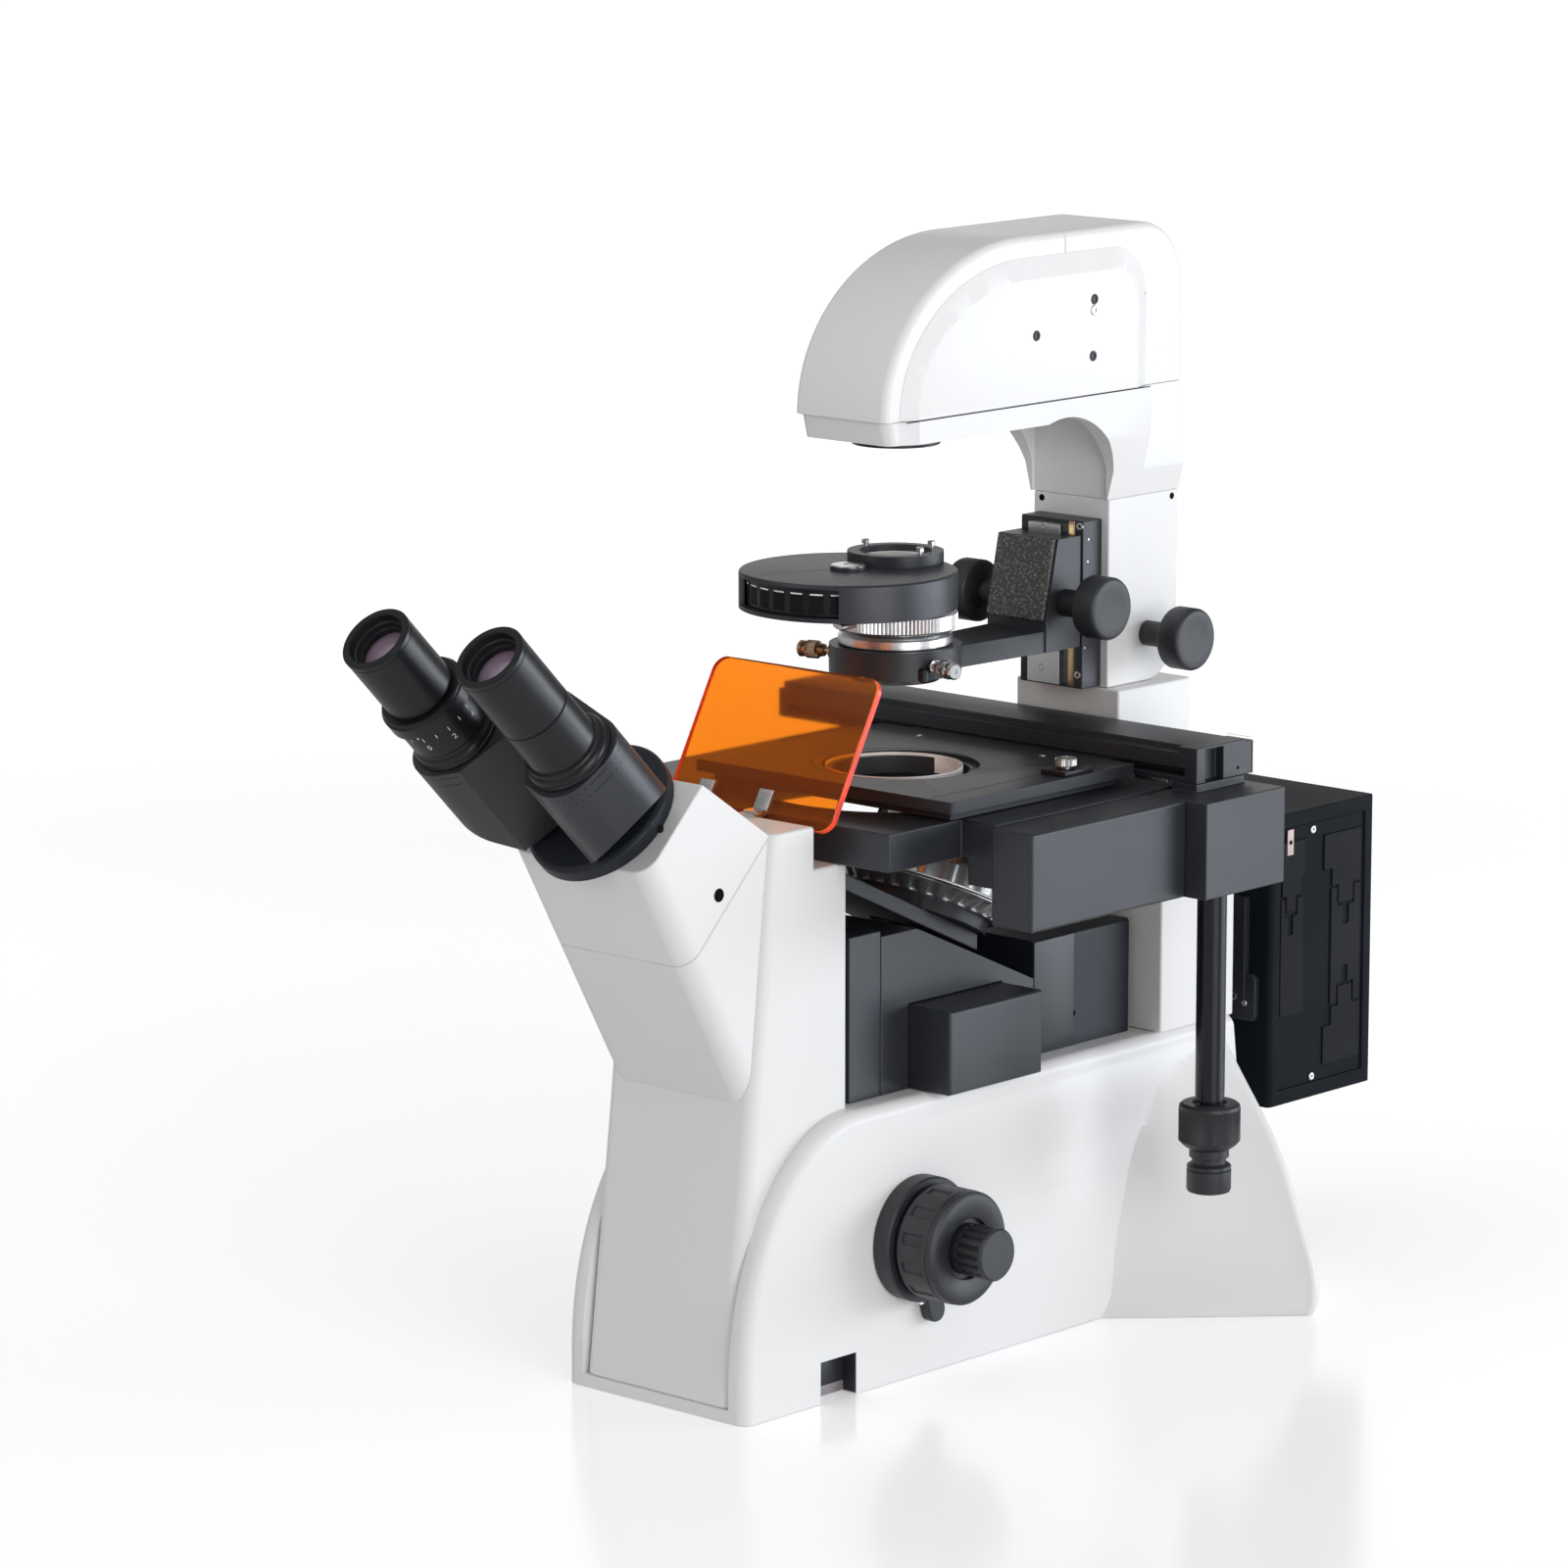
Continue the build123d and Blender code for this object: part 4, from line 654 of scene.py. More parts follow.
def wrappedText(name, words, at, along, radius, size):
    # flat letters wound round a cylinder: x becomes an angle and y a height
    side, up = across(along)
    points, faces = [], []
    for word, angle, height in words:
        curve = bpy.data.curves.new(name, "FONT")
        curve.body = word
        curve.size = size
        curve.align_x = "CENTER"
        flat = bpy.data.objects.new(name, curve)
        bpy.context.collection.objects.link(flat)
        mesh = bpy.data.meshes.new_from_object(flat)
        start = len(points)
        for vertex in mesh.vertices:
            turn = angle + vertex.co.x / radius
            round = cos(turn) * side + sin(turn) * up
            points.append(arr(at) + (height + vertex.co.y) * unit(along) + radius * round)
        faces += [tuple(start + i for i in polygon.vertices) for polygon in mesh.polygons]
        bpy.data.objects.remove(flat)
    return newPiece(name, points, faces)


eyepieceForm = {"foot": 108.8, "length": 40.0, "radius": 17.75, "mouth": 14.0, "glass": 11.6, "bend": 30.0}


def makeEyepiece(side, sideName, foot, length, radius, mouth, glass, bend):
    # a matt rim ring, a dark bevelled funnel down to the glass, and a fine groove where the ring screws on
    body = sideName + "_prism"
    top = foot + length
    at = tubeFoot(side)
    barrel = turnedSkin(sideName + "EyepieceBarrel", [
        (15, foot - 18), (15, foot), (radius - 0.5, foot), (radius, foot + 0.5),
        *around(radius, top, (0, -3.6), (-0.25, -3.4), (-0.25, -3.1), (0.1, -2.8), (0.1, -0.7), (-0.5, 0)),
        *around(mouth, top, (0.5, 0), (0, -0.5), (0, -1.6), (-0.3, -4.2), (-1.3, -4.6), (-1.5, -7.4)),
        (glass + 0.2, top - 8.0), (glass + 0.1, top - 11), (10, top - 12), (10, foot - 18),
        (15, foot - 18)], at, hinge["along"], 112)
    settle(barrel, body, "black_anodised", sideName + "_eyepiece")
    reach = glass + 0.1
    dome = [(r, top - 12 + sqrt(bend ** 2 - r ** 2) - sqrt(bend ** 2 - reach ** 2) + 1.2)
            for r in np.linspace(reach, 0, 14)]
    lens = turnedSkin(sideName + "EyeLens", [(0, top - 13), (reach, top - 13), *dome], at,
                      hinge["along"], 72)
    settle(lens, body, "lens_coating", sideName + "_eye_lens")
    inner = turnedSkin(sideName + "EyeStop", [
        (9.9, top - 16), (9.9, top - 15.4), (0, top - 15.4), (0, top - 16)], at, hinge["along"], 48)
    settle(inner, body, "dark_gap")


tubeForm = {"foot": 74.5, "collar": 80.5, "top": 108.5, "radius": 17.75, "collarRadius": 22.0}


def makeRightTube(foot, collar, top, radius, collarRadius):
    # a stepped collar over the prism case, then the plain sleeve that holds the eyepiece
    tube = turnedSkin("rightTubeSleeve", [
        (15.1, foot), *around(collarRadius, foot, (0.2, 0), (0.2, 1.8), (-0.6, 2.2), (-0.6, 3.8)),
        (collarRadius - 1.6, collar - 0.6), *around(radius, collar, (1.6, 0), (1.2, 1.2), (0, 1.6)),
        (radius, top - 0.5), (radius - 0.5, top), (15.1, top),
        (15.1, foot)], tubeFoot(1), hinge["along"], 112)
    settle(tube, "right_prism", "black_anodised", "right_tube")


dioptreForm = {"foot": 74.5, "collar": 80.5, "scaleRadius": 20.0, "scaleTop": 98.2, "top": 108.5,
               "ringRadius": 22.0}


def makeLeftTube(foot, collar, scaleRadius, scaleTop, top, ringRadius):
    # the dioptre scale stands still on the tube and the ribbed ring above it turns
    at = tubeFoot(-1)
    tube = turnedSkin("leftTubeSleeve", [
        (15.1, foot), *around(ringRadius, foot, (0.2, 0), (0.2, 1.8), (-0.6, 2.2), (-0.6, 3.8)),
        (ringRadius - 1.4, collar - 0.5),
        *around(scaleRadius, collar, (0, 0), (0, 2), (-0.5, 2.3), (0, 2.6)), (scaleRadius, scaleTop - 0.4),
        (scaleRadius - 0.4, scaleTop), (16.9, scaleTop), (16.9, top), (15.1, top),
        (15.1, foot)], at, hinge["along"], 112)
    settle(tube, "left_prism", "black_anodised", "left_tube")
    low = scaleTop + 0.3
    ring = turnedSkin("dioptreRing", [
        (17.0, low), (ringRadius - 1.0, low), (ringRadius, low + 0.8),
        *around(ringRadius, top, (0, -2.4), (-0.8, -1.8), (-0.8, -1.0), (-1.6, 0)), (17.0, top),
        (17.0, low)], at, hinge["along"], 240, knurl(60, 0.35, low + 1.2, top - 2.8))
    settle(ring, "diopter", "black_anodised", "diopter_ring")
    angles = [radians(-150 + 20 * n) for n in range(9)]
    skin = scaleRadius + 0.04
    ticks = ringTicks("dioptreTicks", at, hinge["along"], skin, angles, scaleTop - 3.6, scaleTop - 1.2, 0.45)
    words = [(str(abs(n - 4)), angles[n], scaleTop - 9.4) for n in range(0, 9, 2)]
    digits = wrappedText("dioptreDigits", words, at, hinge["along"], skin, 4.4)
    settle(joined("dioptreMarks", [ticks, digits]), "left_prism", "dial_print")
    index = ringTicks("dioptreIndex", at, hinge["along"], ringRadius + 0.05, [radians(-70)],
                      low + 0.9, low + 1.9, 1.0)
    settle(index, "diopter", "dial_print")


prismSeams = {"half": 24.0, "round": 19.0, "outer": 62.0, "start": 33.0, "levels": (66.5, 71.5)}


def makePrismSeams(half, round, outer, start, levels):
    # parting lines round each prism case:
    # along its front, round the outer end by a quarter circle each way, and back
    quarter = np.linspace(0, pi / 2, 9)
    corner = outer - round
    front = [(start, -half, 0, -1)] + [
        (corner + round * sin(a), round - half - round * cos(a), sin(a), -cos(a)) for a in quarter]
    rear = [(corner + round * cos(a), half - round + round * sin(a), cos(a), sin(a)) for a in quarter] + [
        (start, half, 0, 1)]
    loop = arr(front + rear)
    turn, slope = hinge["fold"], unit([0, 1, 1])
    for side, sideName in ((1, "right"), (-1, "left")):
        first = arr([side * cos(turn), 0, 0]) - sin(turn) * slope
        second = arr([side * sin(turn), 0, 0]) + cos(turn) * slope
        normals = loop[:, 2:3] * first + loop[:, 3:4] * second
        flat = hinge["at"] + loop[:, :1] * first + loop[:, 1:2] * second
        for n, level in enumerate(levels):
            seamLine(f"{sideName}PrismSeam{n}", sideName + "_prism", flat + level * hinge["along"],
                     normals, 0.35, 0.04)


print("binocular")
makePrismSeams(**prismSeams)
for side, sideName in ((1, "right"), (-1, "left")):
    makeEyepiece(side, sideName, **eyepieceForm)
makeRightTube(**tubeForm)
makeLeftTube(**dioptreForm)


# Focus knobs

focus = {"at": arr([0, -52, 71]), "inner": 70.4, "outer": 96.0, "radius": 28.5, "grips": 12,
         "fineEnd": 114.0, "fineRadius": 12.8, "flutes": 16, "ringOuter": 70.0, "ringRadius": 31.4,
         "wall": 60.3, "shaft": 5.0, "lean": radians(15)}


def gripRecess(count, depth, share, low, high):
    # shallow rectangular recesses between two heights: the radius drops inside each one, with short slopes
    def ripple(theta, height):
        phase = np.abs(((theta * count / (2 * pi)) % 1.0) - 0.5) * 2
        inside = np.clip((share - phase) / 0.06, 0, 1)
        return -depth * inside * ((height > low) & (height < high))
    return ripple


def fluteRipple(count, depth, low, high):
    # round flutes between two heights: a cosine hollow under each one
    def ripple(theta, height):
        hollow = np.clip(np.cos(theta * count) * 1.5 - 0.35, 0, 1)
        return -depth * hollow * ((height >= low) & (height <= high))
    return ripple


def makeFocusKnobs(at, inner, outer, radius, grips, fineEnd, fineRadius, flutes, ringOuter, ringRadius,
                   wall, shaft, lean):
    coarse = []
    fine = []
    for side in (1, -1):
        way = arr([side, 0, 0])
        profile = [
            (2.6, inner), *around(radius, inner, (-3.2, 0), (-2.2, 0.6),
                                  (-2.2, 2.2), (-0.6, 2.6), (0, 3.2), (0, 5.4), (0, 5.6)),
            *around(radius, outer, (0, -7.0), (0, -6.8), (0, -5.2),
                    (-0.4, -5.0), (-0.4, -4.4), (-0.1, -4.2), (-0.3, -1.6), (-2.0, -0.2), (-3.0, 0)),
            *around(fineRadius, outer, (3.4, 0), (2.6, -0.5), (2.6, -3.2)), (2.6, outer - 3.2), (2.6, inner)]
        coarse.append(turnedSkin(f"coarseGrip{side}", profile, at, way, 288,
                                 gripRecess(grips, 0.9, 0.42, inner + 5.5, outer - 6.9)))
        start = outer - 3.0
        low, high = outer + 1.2, fineEnd - 3.0
        profile = [
            (2.4, start), (fineRadius - 0.6, start), (fineRadius, start + 0.6), (fineRadius, low - 0.2),
            (fineRadius, low), *around(fineRadius, high, (0, 0), (0, 0.2), (0.3, 0.5)),
            (fineRadius + 0.3, fineEnd - 1.0), (fineRadius - 0.7, fineEnd), (0, fineEnd),
            (0, start), (2.4, start)]
        fine.append(turnedSkin(f"fineGrip{side}", profile, at, way, 256,
                               fluteRipple(flutes, 1.5, low, high)))
    coarse.append(turnedSkin("coarseShaft", [
        (2.6, -inner - 1), (shaft, -inner - 1), (shaft, -5), (5.6, -5), (5.6, 5), (shaft, 5),
        (shaft, inner + 1), (2.6, inner + 1), (2.6, -inner - 1)], at, [1, 0, 0], 48))
    fine.append(turnedSkin("fineShaft", [(0, -outer), (2.4, -outer), (2.4, outer), (0, outer)],
                           at, [1, 0, 0], 24))
    settle(joined("coarseKnobs", coarse), "coarse_drive", "black_knob", "coarse_knobs")
    settle(joined("fineKnobs", fine), "fine_drive", "black_knob", "fine_knobs")

    ring = turnedSkin("tensionRingBand", [
        (10.1, wall), (ringRadius - 0.6, wall), (ringRadius, wall + 0.6), (ringRadius, ringOuter - 1.0),
        (ringRadius - 1.0, ringOuter), (10.1, ringOuter), (10.1, wall)], at, [1, 0, 0], 144)
    # the lever is a rounded tongue: half circle at its tip, then straight sides up under the ring
    arc = np.linspace(pi, 2 * pi, 17)
    outline = [(-6.0, 6.0), *[(6.0 * cos(a), -8.0 + 6.0 * sin(a)) for a in arc], (6.0, 6.0)]
    drop = ringRadius + 0.5
    rows = []
    for x, shrink in ((wall, 0.4), (wall + 0.5, 0), (wall + 5.2, 0), (wall + 6.0, 0.8)):
        row = []
        for y, z in outline:
            y, z = y * (1 - shrink / 6), z + shrink * (0.5 if z < 0 else 0) - drop
            row.append((x, at[1] + y * cos(lean) - z * sin(lean), at[2] + y * sin(lean) + z * cos(lean)))
        rows.append(row)
    lever = cappedRows("tensionLever", rows)
    settle(joined("tensionRing", [ring, lever]), "tension", "black_knob", "tension_ring")


print("focus knobs")
makeFocusKnobs(**focus)


# Plain turned knobs: condenser height, tilt clamp and the stage drive

def roundKnob(name, at, way, start, end, radius, dish):
    # a soft-edged drum with a slightly dished face
    return turnedSkin(name, [(0, start), *around(radius, start, (-1.6, 0), (-0.5, 0.4), (0, 1.4)),
                             *around(radius, end, (0, -2.0), (-0.35, -1.0), (-1.1, -0.3), (-2.2, 0)),
                             (radius * 0.6, end - dish), (0, end - dish * 1.4)], at, way, 112, angle=50)


heightKnob = {"at": arr([0, 108, 363]), "pinion": 5.2, "neck": 7.0, "neckStart": 19.8, "start": 36.0,
              "end": 50.0, "radius": 16.0}


def makeHeightKnobs(at, pinion, neck, neckStart, start, end, radius):
    parts = [turnedSkin("heightPinion", [(0, -start), (pinion, -start), (pinion, start), (0, start)],
                        at, [1, 0, 0], 48)]
    for side in (1, -1):
        way = [side, 0, 0]
        parts.append(roundKnob(f"heightGrip{side}", at, way, start, end, radius, 0.4))
        parts.append(turnedSkin(f"heightNeck{side}", [
            (0, neckStart), (neck, neckStart),
            *around(neck, start, (0, -5), (-1.2, -4.4), (-1.2, -2), (1.6, -1.4), (1.6, 0.2)),
            (0, start + 0.2)], at, way, 64))
    settle(joined("heightKnobs", parts), "condenser_drive", "black_knob", "condenser_knobs")


clampKnob = {"at": arr([0, 166, 341]), "pin": 5.0, "neck": 6.5, "neckStart": 25.3, "start": 44.0,
             "end": 57.6, "radius": 16.0}


def makeClampKnob(at, pin, neck, neckStart, start, end, radius):
    grip = roundKnob("clampGrip", at, [1, 0, 0], start, end, radius, 0.4)
    shank = turnedSkin("clampShank", [(0, -27), (pin, -27), (pin, neckStart), (neck, neckStart),
                                      (neck, start + 0.2), (0, start + 0.2)], at, [1, 0, 0], 64)
    settle(joined("clampKnob", [grip, shank]), "tilt_clamp", "black_knob", "tilt_clamp_knob")


stageStem = {"at": arr([130, 91, 0]), "yLow": 102.4, "yHigh": 124.8, "yRadius": 15.5, "neck": 10.0,
             "xLow": 79.0, "xHigh": 93.5, "xRadius": 11.2, "reach": 245.5}


def makeStageKnobs(at, yLow, yHigh, yRadius, neck, xLow, xHigh, xRadius, reach):
    up = [0, 0, 1]
    grip = turnedSkin("yGrip", [(3.1, yLow), (neck + 2.2, yLow),
                                *around(yRadius, yLow, (-1.8, 1.2), (-0.6, 2.6), (0, 3.2), (0, 3.6)),
                                *around(yRadius, yHigh, (0, -3.0), (0, -2.8), (-0.3, -1.2), (-1.8, 0)),
                                (8.8, yHigh), (8.2, yHigh - 1.4), (3.1, yHigh - 1.4), (3.1, yLow)], at, up,
                      360, knurl(72, 0.55, yLow + 3.4, yHigh - 2.9))
    sleeve = turnedSkin("ySleeve", [
        (3.1, yHigh - 2), (5.0, yHigh - 2), (5.0, reach), (3.1, reach), (3.1, yHigh - 2)], at, up, 40)
    settle(joined("yKnob", [grip, sleeve]), "y_drive", "black_knob", "y_knob")
    lower = turnedSkin("xGrip", [
        (0, xLow), *around(xRadius, xLow, (-1.8, 0), (-0.5, 0.5), (0, 1.8)),
        *around(xRadius, xHigh, (0, -3.2), (-0.5, -2.8), (-0.1, -2.2), (-0.2, -0.8), (-1.2, 0)),
        *around(neck, xHigh, (-1.4, 0.4), (-1.4, 3.0), (0, 3.6)), (neck, yLow - 1.2),
        (neck - 0.8, yLow - 0.3), (3.0, yLow - 0.3), (3.0, reach + 3), (0, reach + 3)], at, up, 112)
    settle(lower, "x_drive", "black_knob", "x_knob")


print("turned knobs")
makeHeightKnobs(**heightKnob)
makeClampKnob(**clampKnob)
makeStageKnobs(**stageStem)


# Small fasteners

def socketScrew(name, at, way, radius, height, socket):
    # a pan head with a hexagon socket: the socket's rows follow the radius of a six-sided figure
    rim = radius * socket
    low = height - min(radius * 0.6, height * 0.9)
    profile = [(0, low), (rim * 0.98, low), (rim, height - 0.06 * radius), (rim + 0.06 * radius, height),
               (radius * 0.82, height), (radius * 0.95, height - 0.1 * radius),
               (radius, height - 0.25 * radius), (radius, -0.2)]
    inSocket = arr([0, 1, 1, 0, 0, 0, 0, 0])[:, None]

    def hexagon(theta, level):
        return inSocket * rim * (cos(pi / 6) / np.cos((theta % (pi / 3)) - pi / 6) - 1)
    return turnedSkin(name, profile, at, way, 36, hexagon, 40)


def fastenerRow(name, body, finish, places, way, radius, height, socket=0.55):
    heads = [socketScrew(name, at, way, radius, height, socket) for at in places]
    return settle(joined(name, heads), body, finish)


def darkPlug(name, body, at, way, radius, depth=0.15):
    # a hole's mouth: a black disc sunk behind its own raised rim
    disc = turnedSkin(name, [(0, depth * 0.4), (radius * 0.86, depth * 0.4), (radius, depth), (radius, -0.3),
                             (0, -0.3)], at, way, 36)
    return settle(disc, body, "dark_gap")


# Condenser

condenser = {"holderTop": 354.0, "barrel": (26.0, 336.0), "ringRadius": 28.5, "neck": 20.0, "bore": 13.0,
             "dial": (31.0, 362.0, 371.0), "case": 376.5, "ribs": 96}


def makeCondenser(holderTop, barrel, ringRadius, neck, bore, dial, case, ribs):
    up = [0, 0, 1]
    at = [0, 0, 0]
    barrelRadius, barrelLow = barrel
    dialRadius, dialLow, dialHigh = dial
    shoulder = holderTop + 0.3
    body = turnedSkin("condenserBarrel", [
        (bore, barrelLow), *around(barrelRadius, barrelLow, (-4, 0), (-0.3, 3.6), (0, 4.2)),
        (barrelRadius, shoulder), (ringRadius - 0.4, shoulder), (ringRadius, shoulder + 0.4),
        *around(ringRadius, dialLow, (0, -3.4), (-0.5, -2.9), (-2.6, -1.5)), (neck, dialLow - 1.5),
        (neck, case), (bore, case), (bore, barrelLow)], at, up, 128)
    settle(body, "condenser", "silver_ring", "condenser_barrel")
    glass = turnedSkin("condenserGlass", [
        (bore - 0.1, barrelLow + 1.2), (bore - 0.1, barrelLow + 3), (6, barrelLow + 4.6), (0, barrelLow + 5),
        (0, barrelLow + 1.2)], at, up, 48)
    settle(glass, "condenser", "lens_coating")
    ring = turnedSkin("apertureDial", [
        (neck + 0.05, dialLow), *around(dialRadius, dialLow, (-1.0, 0), (-0.2, 0.5), (0, 0.7), (0, 0.8)),
        *around(dialRadius, dialHigh, (0, -1.2), (0, -1.1), (-0.3, -0.6), (-1.2, 0)),
        (neck + 0.05, dialHigh),
        (neck + 0.05, dialLow)], at, up, ribs * 4, knurl(ribs, 0.8, dialLow + 0.75, dialHigh - 1.15))
    ridge = (dialLow + dialHigh) / 2
    lever = turnedSkin("apertureLever", [(0, 0), (1.5, 0), (1.5, 7), (1.8, 7.3), (1.8, 10.6), (1.3, 11),
                                         (0, 11)], [0, -dialRadius + 1.0, ridge], [0, -1, 0], 28)
    settle(joined("apertureRing", [ring, lever]), "aperture", "silver_ring", "aperture_ring")


print("condenser")
makeCondenser(**condenser)

centring = {"height": 347.0, "screws": ((195.0, "bronze"), (-15.0, "bright_steel")), "barrel": 26.5,
            "holder": 33.0, "shank": 2.5, "grip": 4.6}


def makeCentringScrews(height, screws, barrel, holder, shank, grip):
    # thin shanks through the holder with ribbed heads, one bronzed and one bright
    for n, (turn, finish) in enumerate(screws):
        way = arr([cos(radians(turn)), sin(radians(turn)), 0])
        at = way * barrel + arr([0, 0, height])
        start = holder - barrel
        head = start + 9
        profile = [(0, 0), (shank, 0), *around(shank, start, (0, 1.5),
                                               (0.9, 1.8), (0.9, 3.2), (-0.7, 3.8), (-0.7, 5.4), (0.6, 6.2)),
                   *around(grip, head, (-1.0, 0), (0, 0.8), (0, 1.0), (0, 6.2), (0, 6.4), (-0.7, 7.0),
                           (-0.9, 7.6), (-0.6, 8.0), (-0.4, 10.5), (-1.2, 11.4)), (1.2, head + 11.4),
                   (1.2, head + 10.8), (0, head + 10.8)]
        screw = turnedSkin("centringScrew_" + finish, profile, at, way, 96,
                           knurl(24, 0.35, head + 0.9, head + 6.3))
        settle(screw, "condenser", finish, *(["centring_screws"] if n == 0 else []))


makeCentringScrews(**centring)


# Nosepiece and objectives

nosepiece = {"at": arr([0, 22, 232]), "tilt": radians(25), "radius": 50.0, "half": 6.0, "pivot": 8.05,
             "places": 5, "objective": 11.0, "tip": 4.8, "tipHeight": 277.0, "shank": 8.8, "scallops": 30,
             "bands": ((0.70, 0.10, 0.08), (0.85, 0.72, 0.10), (0.10, 0.45, 0.16), (0.10, 0.30, 0.65),
                       (0.70, 0.72, 0.75))}


def scallop(count, depth, low, high):
    # wide rounded grips: the cosine is squared off so that the lands are broader than the hollows
    def ripple(theta, height):
        wave = np.clip(np.cos(theta * count) * 1.8 + 0.5, -1, 1)
        return depth * (wave - 1) * ((height > low) & (height < high))
    return ripple


def makeNosepiece(at, tilt, radius, half, pivot, places, objective, tip, tipHeight, shank, scallops, bands):
    axis = arr([0, sin(tilt), cos(tilt)])
    apex = arr([0, 0, at[2] - at[1] / sin(tilt) * cos(tilt)])
    face = (at + axis * half - apex) @ axis
    seat = face / cos(tilt) + 2

    rim = turnedSkin("turretRim", [
        (pivot, -half), (radius - 2.6, -half), *around(radius, -half, (-1.6, 0.7), (-1.5, 1.3), (0, 1.5)),
        *around(radius, half, (0, -1.5), (-1.5, -1.3), (-1.8, -0.6), (-3.4, 0)), (pivot, half),
        (pivot, -half)], at, axis, scallops * 10, scallop(scallops, 0.55, 1.4 - half, half - 1.4))
    bosses = []
    barrels = []
    for n in range(places):
        turn = 2 * pi * n / places
        up = arr([0, 0, 1])
        # the upright line turned about the nosepiece's axis
        way = up * cos(turn) + np.cross(axis, up) * sin(turn) + axis * (axis @ up) * (1 - cos(turn))
        bosses.append(turnedSkin(f"boss{n}", [
            (shank, seat - 9), *around(objective, seat, (1.4, -9), (1.4, -0.7), (0.9, -0.1)),
            (shank, seat - 0.1), (shank, seat - 9)], apex, way, 64))
        length = tipHeight - apex[2] - seat - (0, 1.5, 3, 5, 8)[n]
        end = seat + length
        ringHeight = seat + length * 0.42
        g = objective
        profile = [(3, seat - 8), (shank - 0.1, seat - 8), (shank - 0.1, seat),
                   *around(g, seat, (-0.3, 0), (0, 0.3), (0, 2.2),
                           (-0.4, 2.4), (-0.4, 2.8), (0, 3.0), (0, 3.1), (0, 6.8), (0, 6.9), (-0.5, 7.2)),
                   *around(g, ringHeight, (-0.5, 0), (-0.55, 0.1), (-0.55, 1.5), (-0.5, 1.6)),
                   (g - 0.5, seat + length * 0.56), (g - 1.0, seat + length * 0.58),
                   (g - 2.0, seat + length * 0.62), (tip + 2.6, seat + length * 0.80),
                   (tip + 2.0, seat + length * 0.88), (tip + 0.4, end - 0.5), (tip, end), (3.2, end),
                   (3, end - 0.8), (3, seat - 8)]
        barrel = turnedSkin(f"objective{n}", profile, apex, way, 120,
                            knurl(40, 0.35, seat + 3.05, seat + 6.85))
        band = turnedSkin(f"band{n}", [*around(g, ringHeight, (-0.6, 0.1), (-0.4, 0.2), (-0.4, 1.4),
                                               (-0.6, 1.5))], apex, way, 48)
        key = f"bandPaint{n}"
        finishes[key] = makeKnobPlastic(key, bands[n], 0.4)
        settle(band, "nosepiece", key)
        front = turnedSkin(f"frontLens{n}", [(0, end - 1.4), (3.0, end - 1.4), (3.0, end - 1.0),
                                             (1.6, end - 0.7), (0, end - 0.6)], apex, way, 32)
        settle(front, "nosepiece", "lens_coating")
        barrels.append(barrel)
    # below the rim a scalloped skirt tapers down to the nosepiece's arm
    low, high = -half - 7.6, -half - 0.4
    wide, narrow = radius - 0.6, radius - 8.0
    skirt = turnedSkin("turretSkirt", [
        (38.8, high), (38.8, low + 0.8), *around(narrow, low, (-1.6, 0), (0, 0.3), (0.8, 0.9)),
        *around(wide, high, (-0.8, -0.9), (0, -0.4), (0, 0)),
        (38.8, high)], at, axis, scallops * 10, scallop(scallops, 0.7, low + 0.5, high - 0.5))
    settle(skirt, "nosepiece", "satin_chrome")
    settle(joined("nosepieceTurret", [rim, *bosses]), "nosepiece", "satin_chrome",
           "nosepiece_turret", slot="chrome")
    settle(joined("objectiveBarrels", barrels), "nosepiece", "chrome", "objectives")


print("nosepiece")
makeNosepiece(**nosepiece)


# Lamp house: raised vent plates in the sunk sides, bright screws, a bracket and a fan grille behind

lampSides = {"face": 60.3, "thick": 1.4, "screws": ((260.5, 229.3), (262.0, 96.8)), "screwRadius": 2.2,
             "plates": (((234, 133), (254, 133), (252.5, 195.5), (247.5, 195.5), (247.5, 186), (244, 186),
                         (244, 176), (240, 176), (240, 186), (237.5, 186), (237.5, 195.5), (234, 195.5)),
                        ((238.4, 188), (246.6, 188), (246.6, 196.8), (250.5, 196.8),
                         (250.5, 206), (254, 206), (254, 225.5), (235, 225.5), (235, 196.8), (238.4, 196.8)),
                        ((282.4, 187), (295.1, 187), (295.1, 196.6), (301.5, 196.6),
                         (301.5, 225), (270, 225), (270, 206), (277, 206), (277, 196.6), (282.4, 196.6)),
                        ((276.5, 133), (282, 133), (282, 143.5), (286.5, 143.5),
                         (286.5, 152.5), (291, 152.5), (291, 143.5), (296, 143.5), (296, 133), (301.5, 133),
                         (301.5, 195.5), (296, 195.5), (296, 185.5), (291.5, 185.5), (291.5, 175),
                         (286.5, 175), (286.5, 185.5), (281.5, 185.5), (281.5, 195.5), (276.5, 195.5)),
                        ((271, 101.5), (302, 101.5), (302, 131.8), (295, 131.8),
                         (295, 142), (283, 142), (283, 131.8), (277.5, 131.8), (277.5, 122), (271, 122))),
             "tag": ((238.5, 218.5), (243.5, 232.0))}


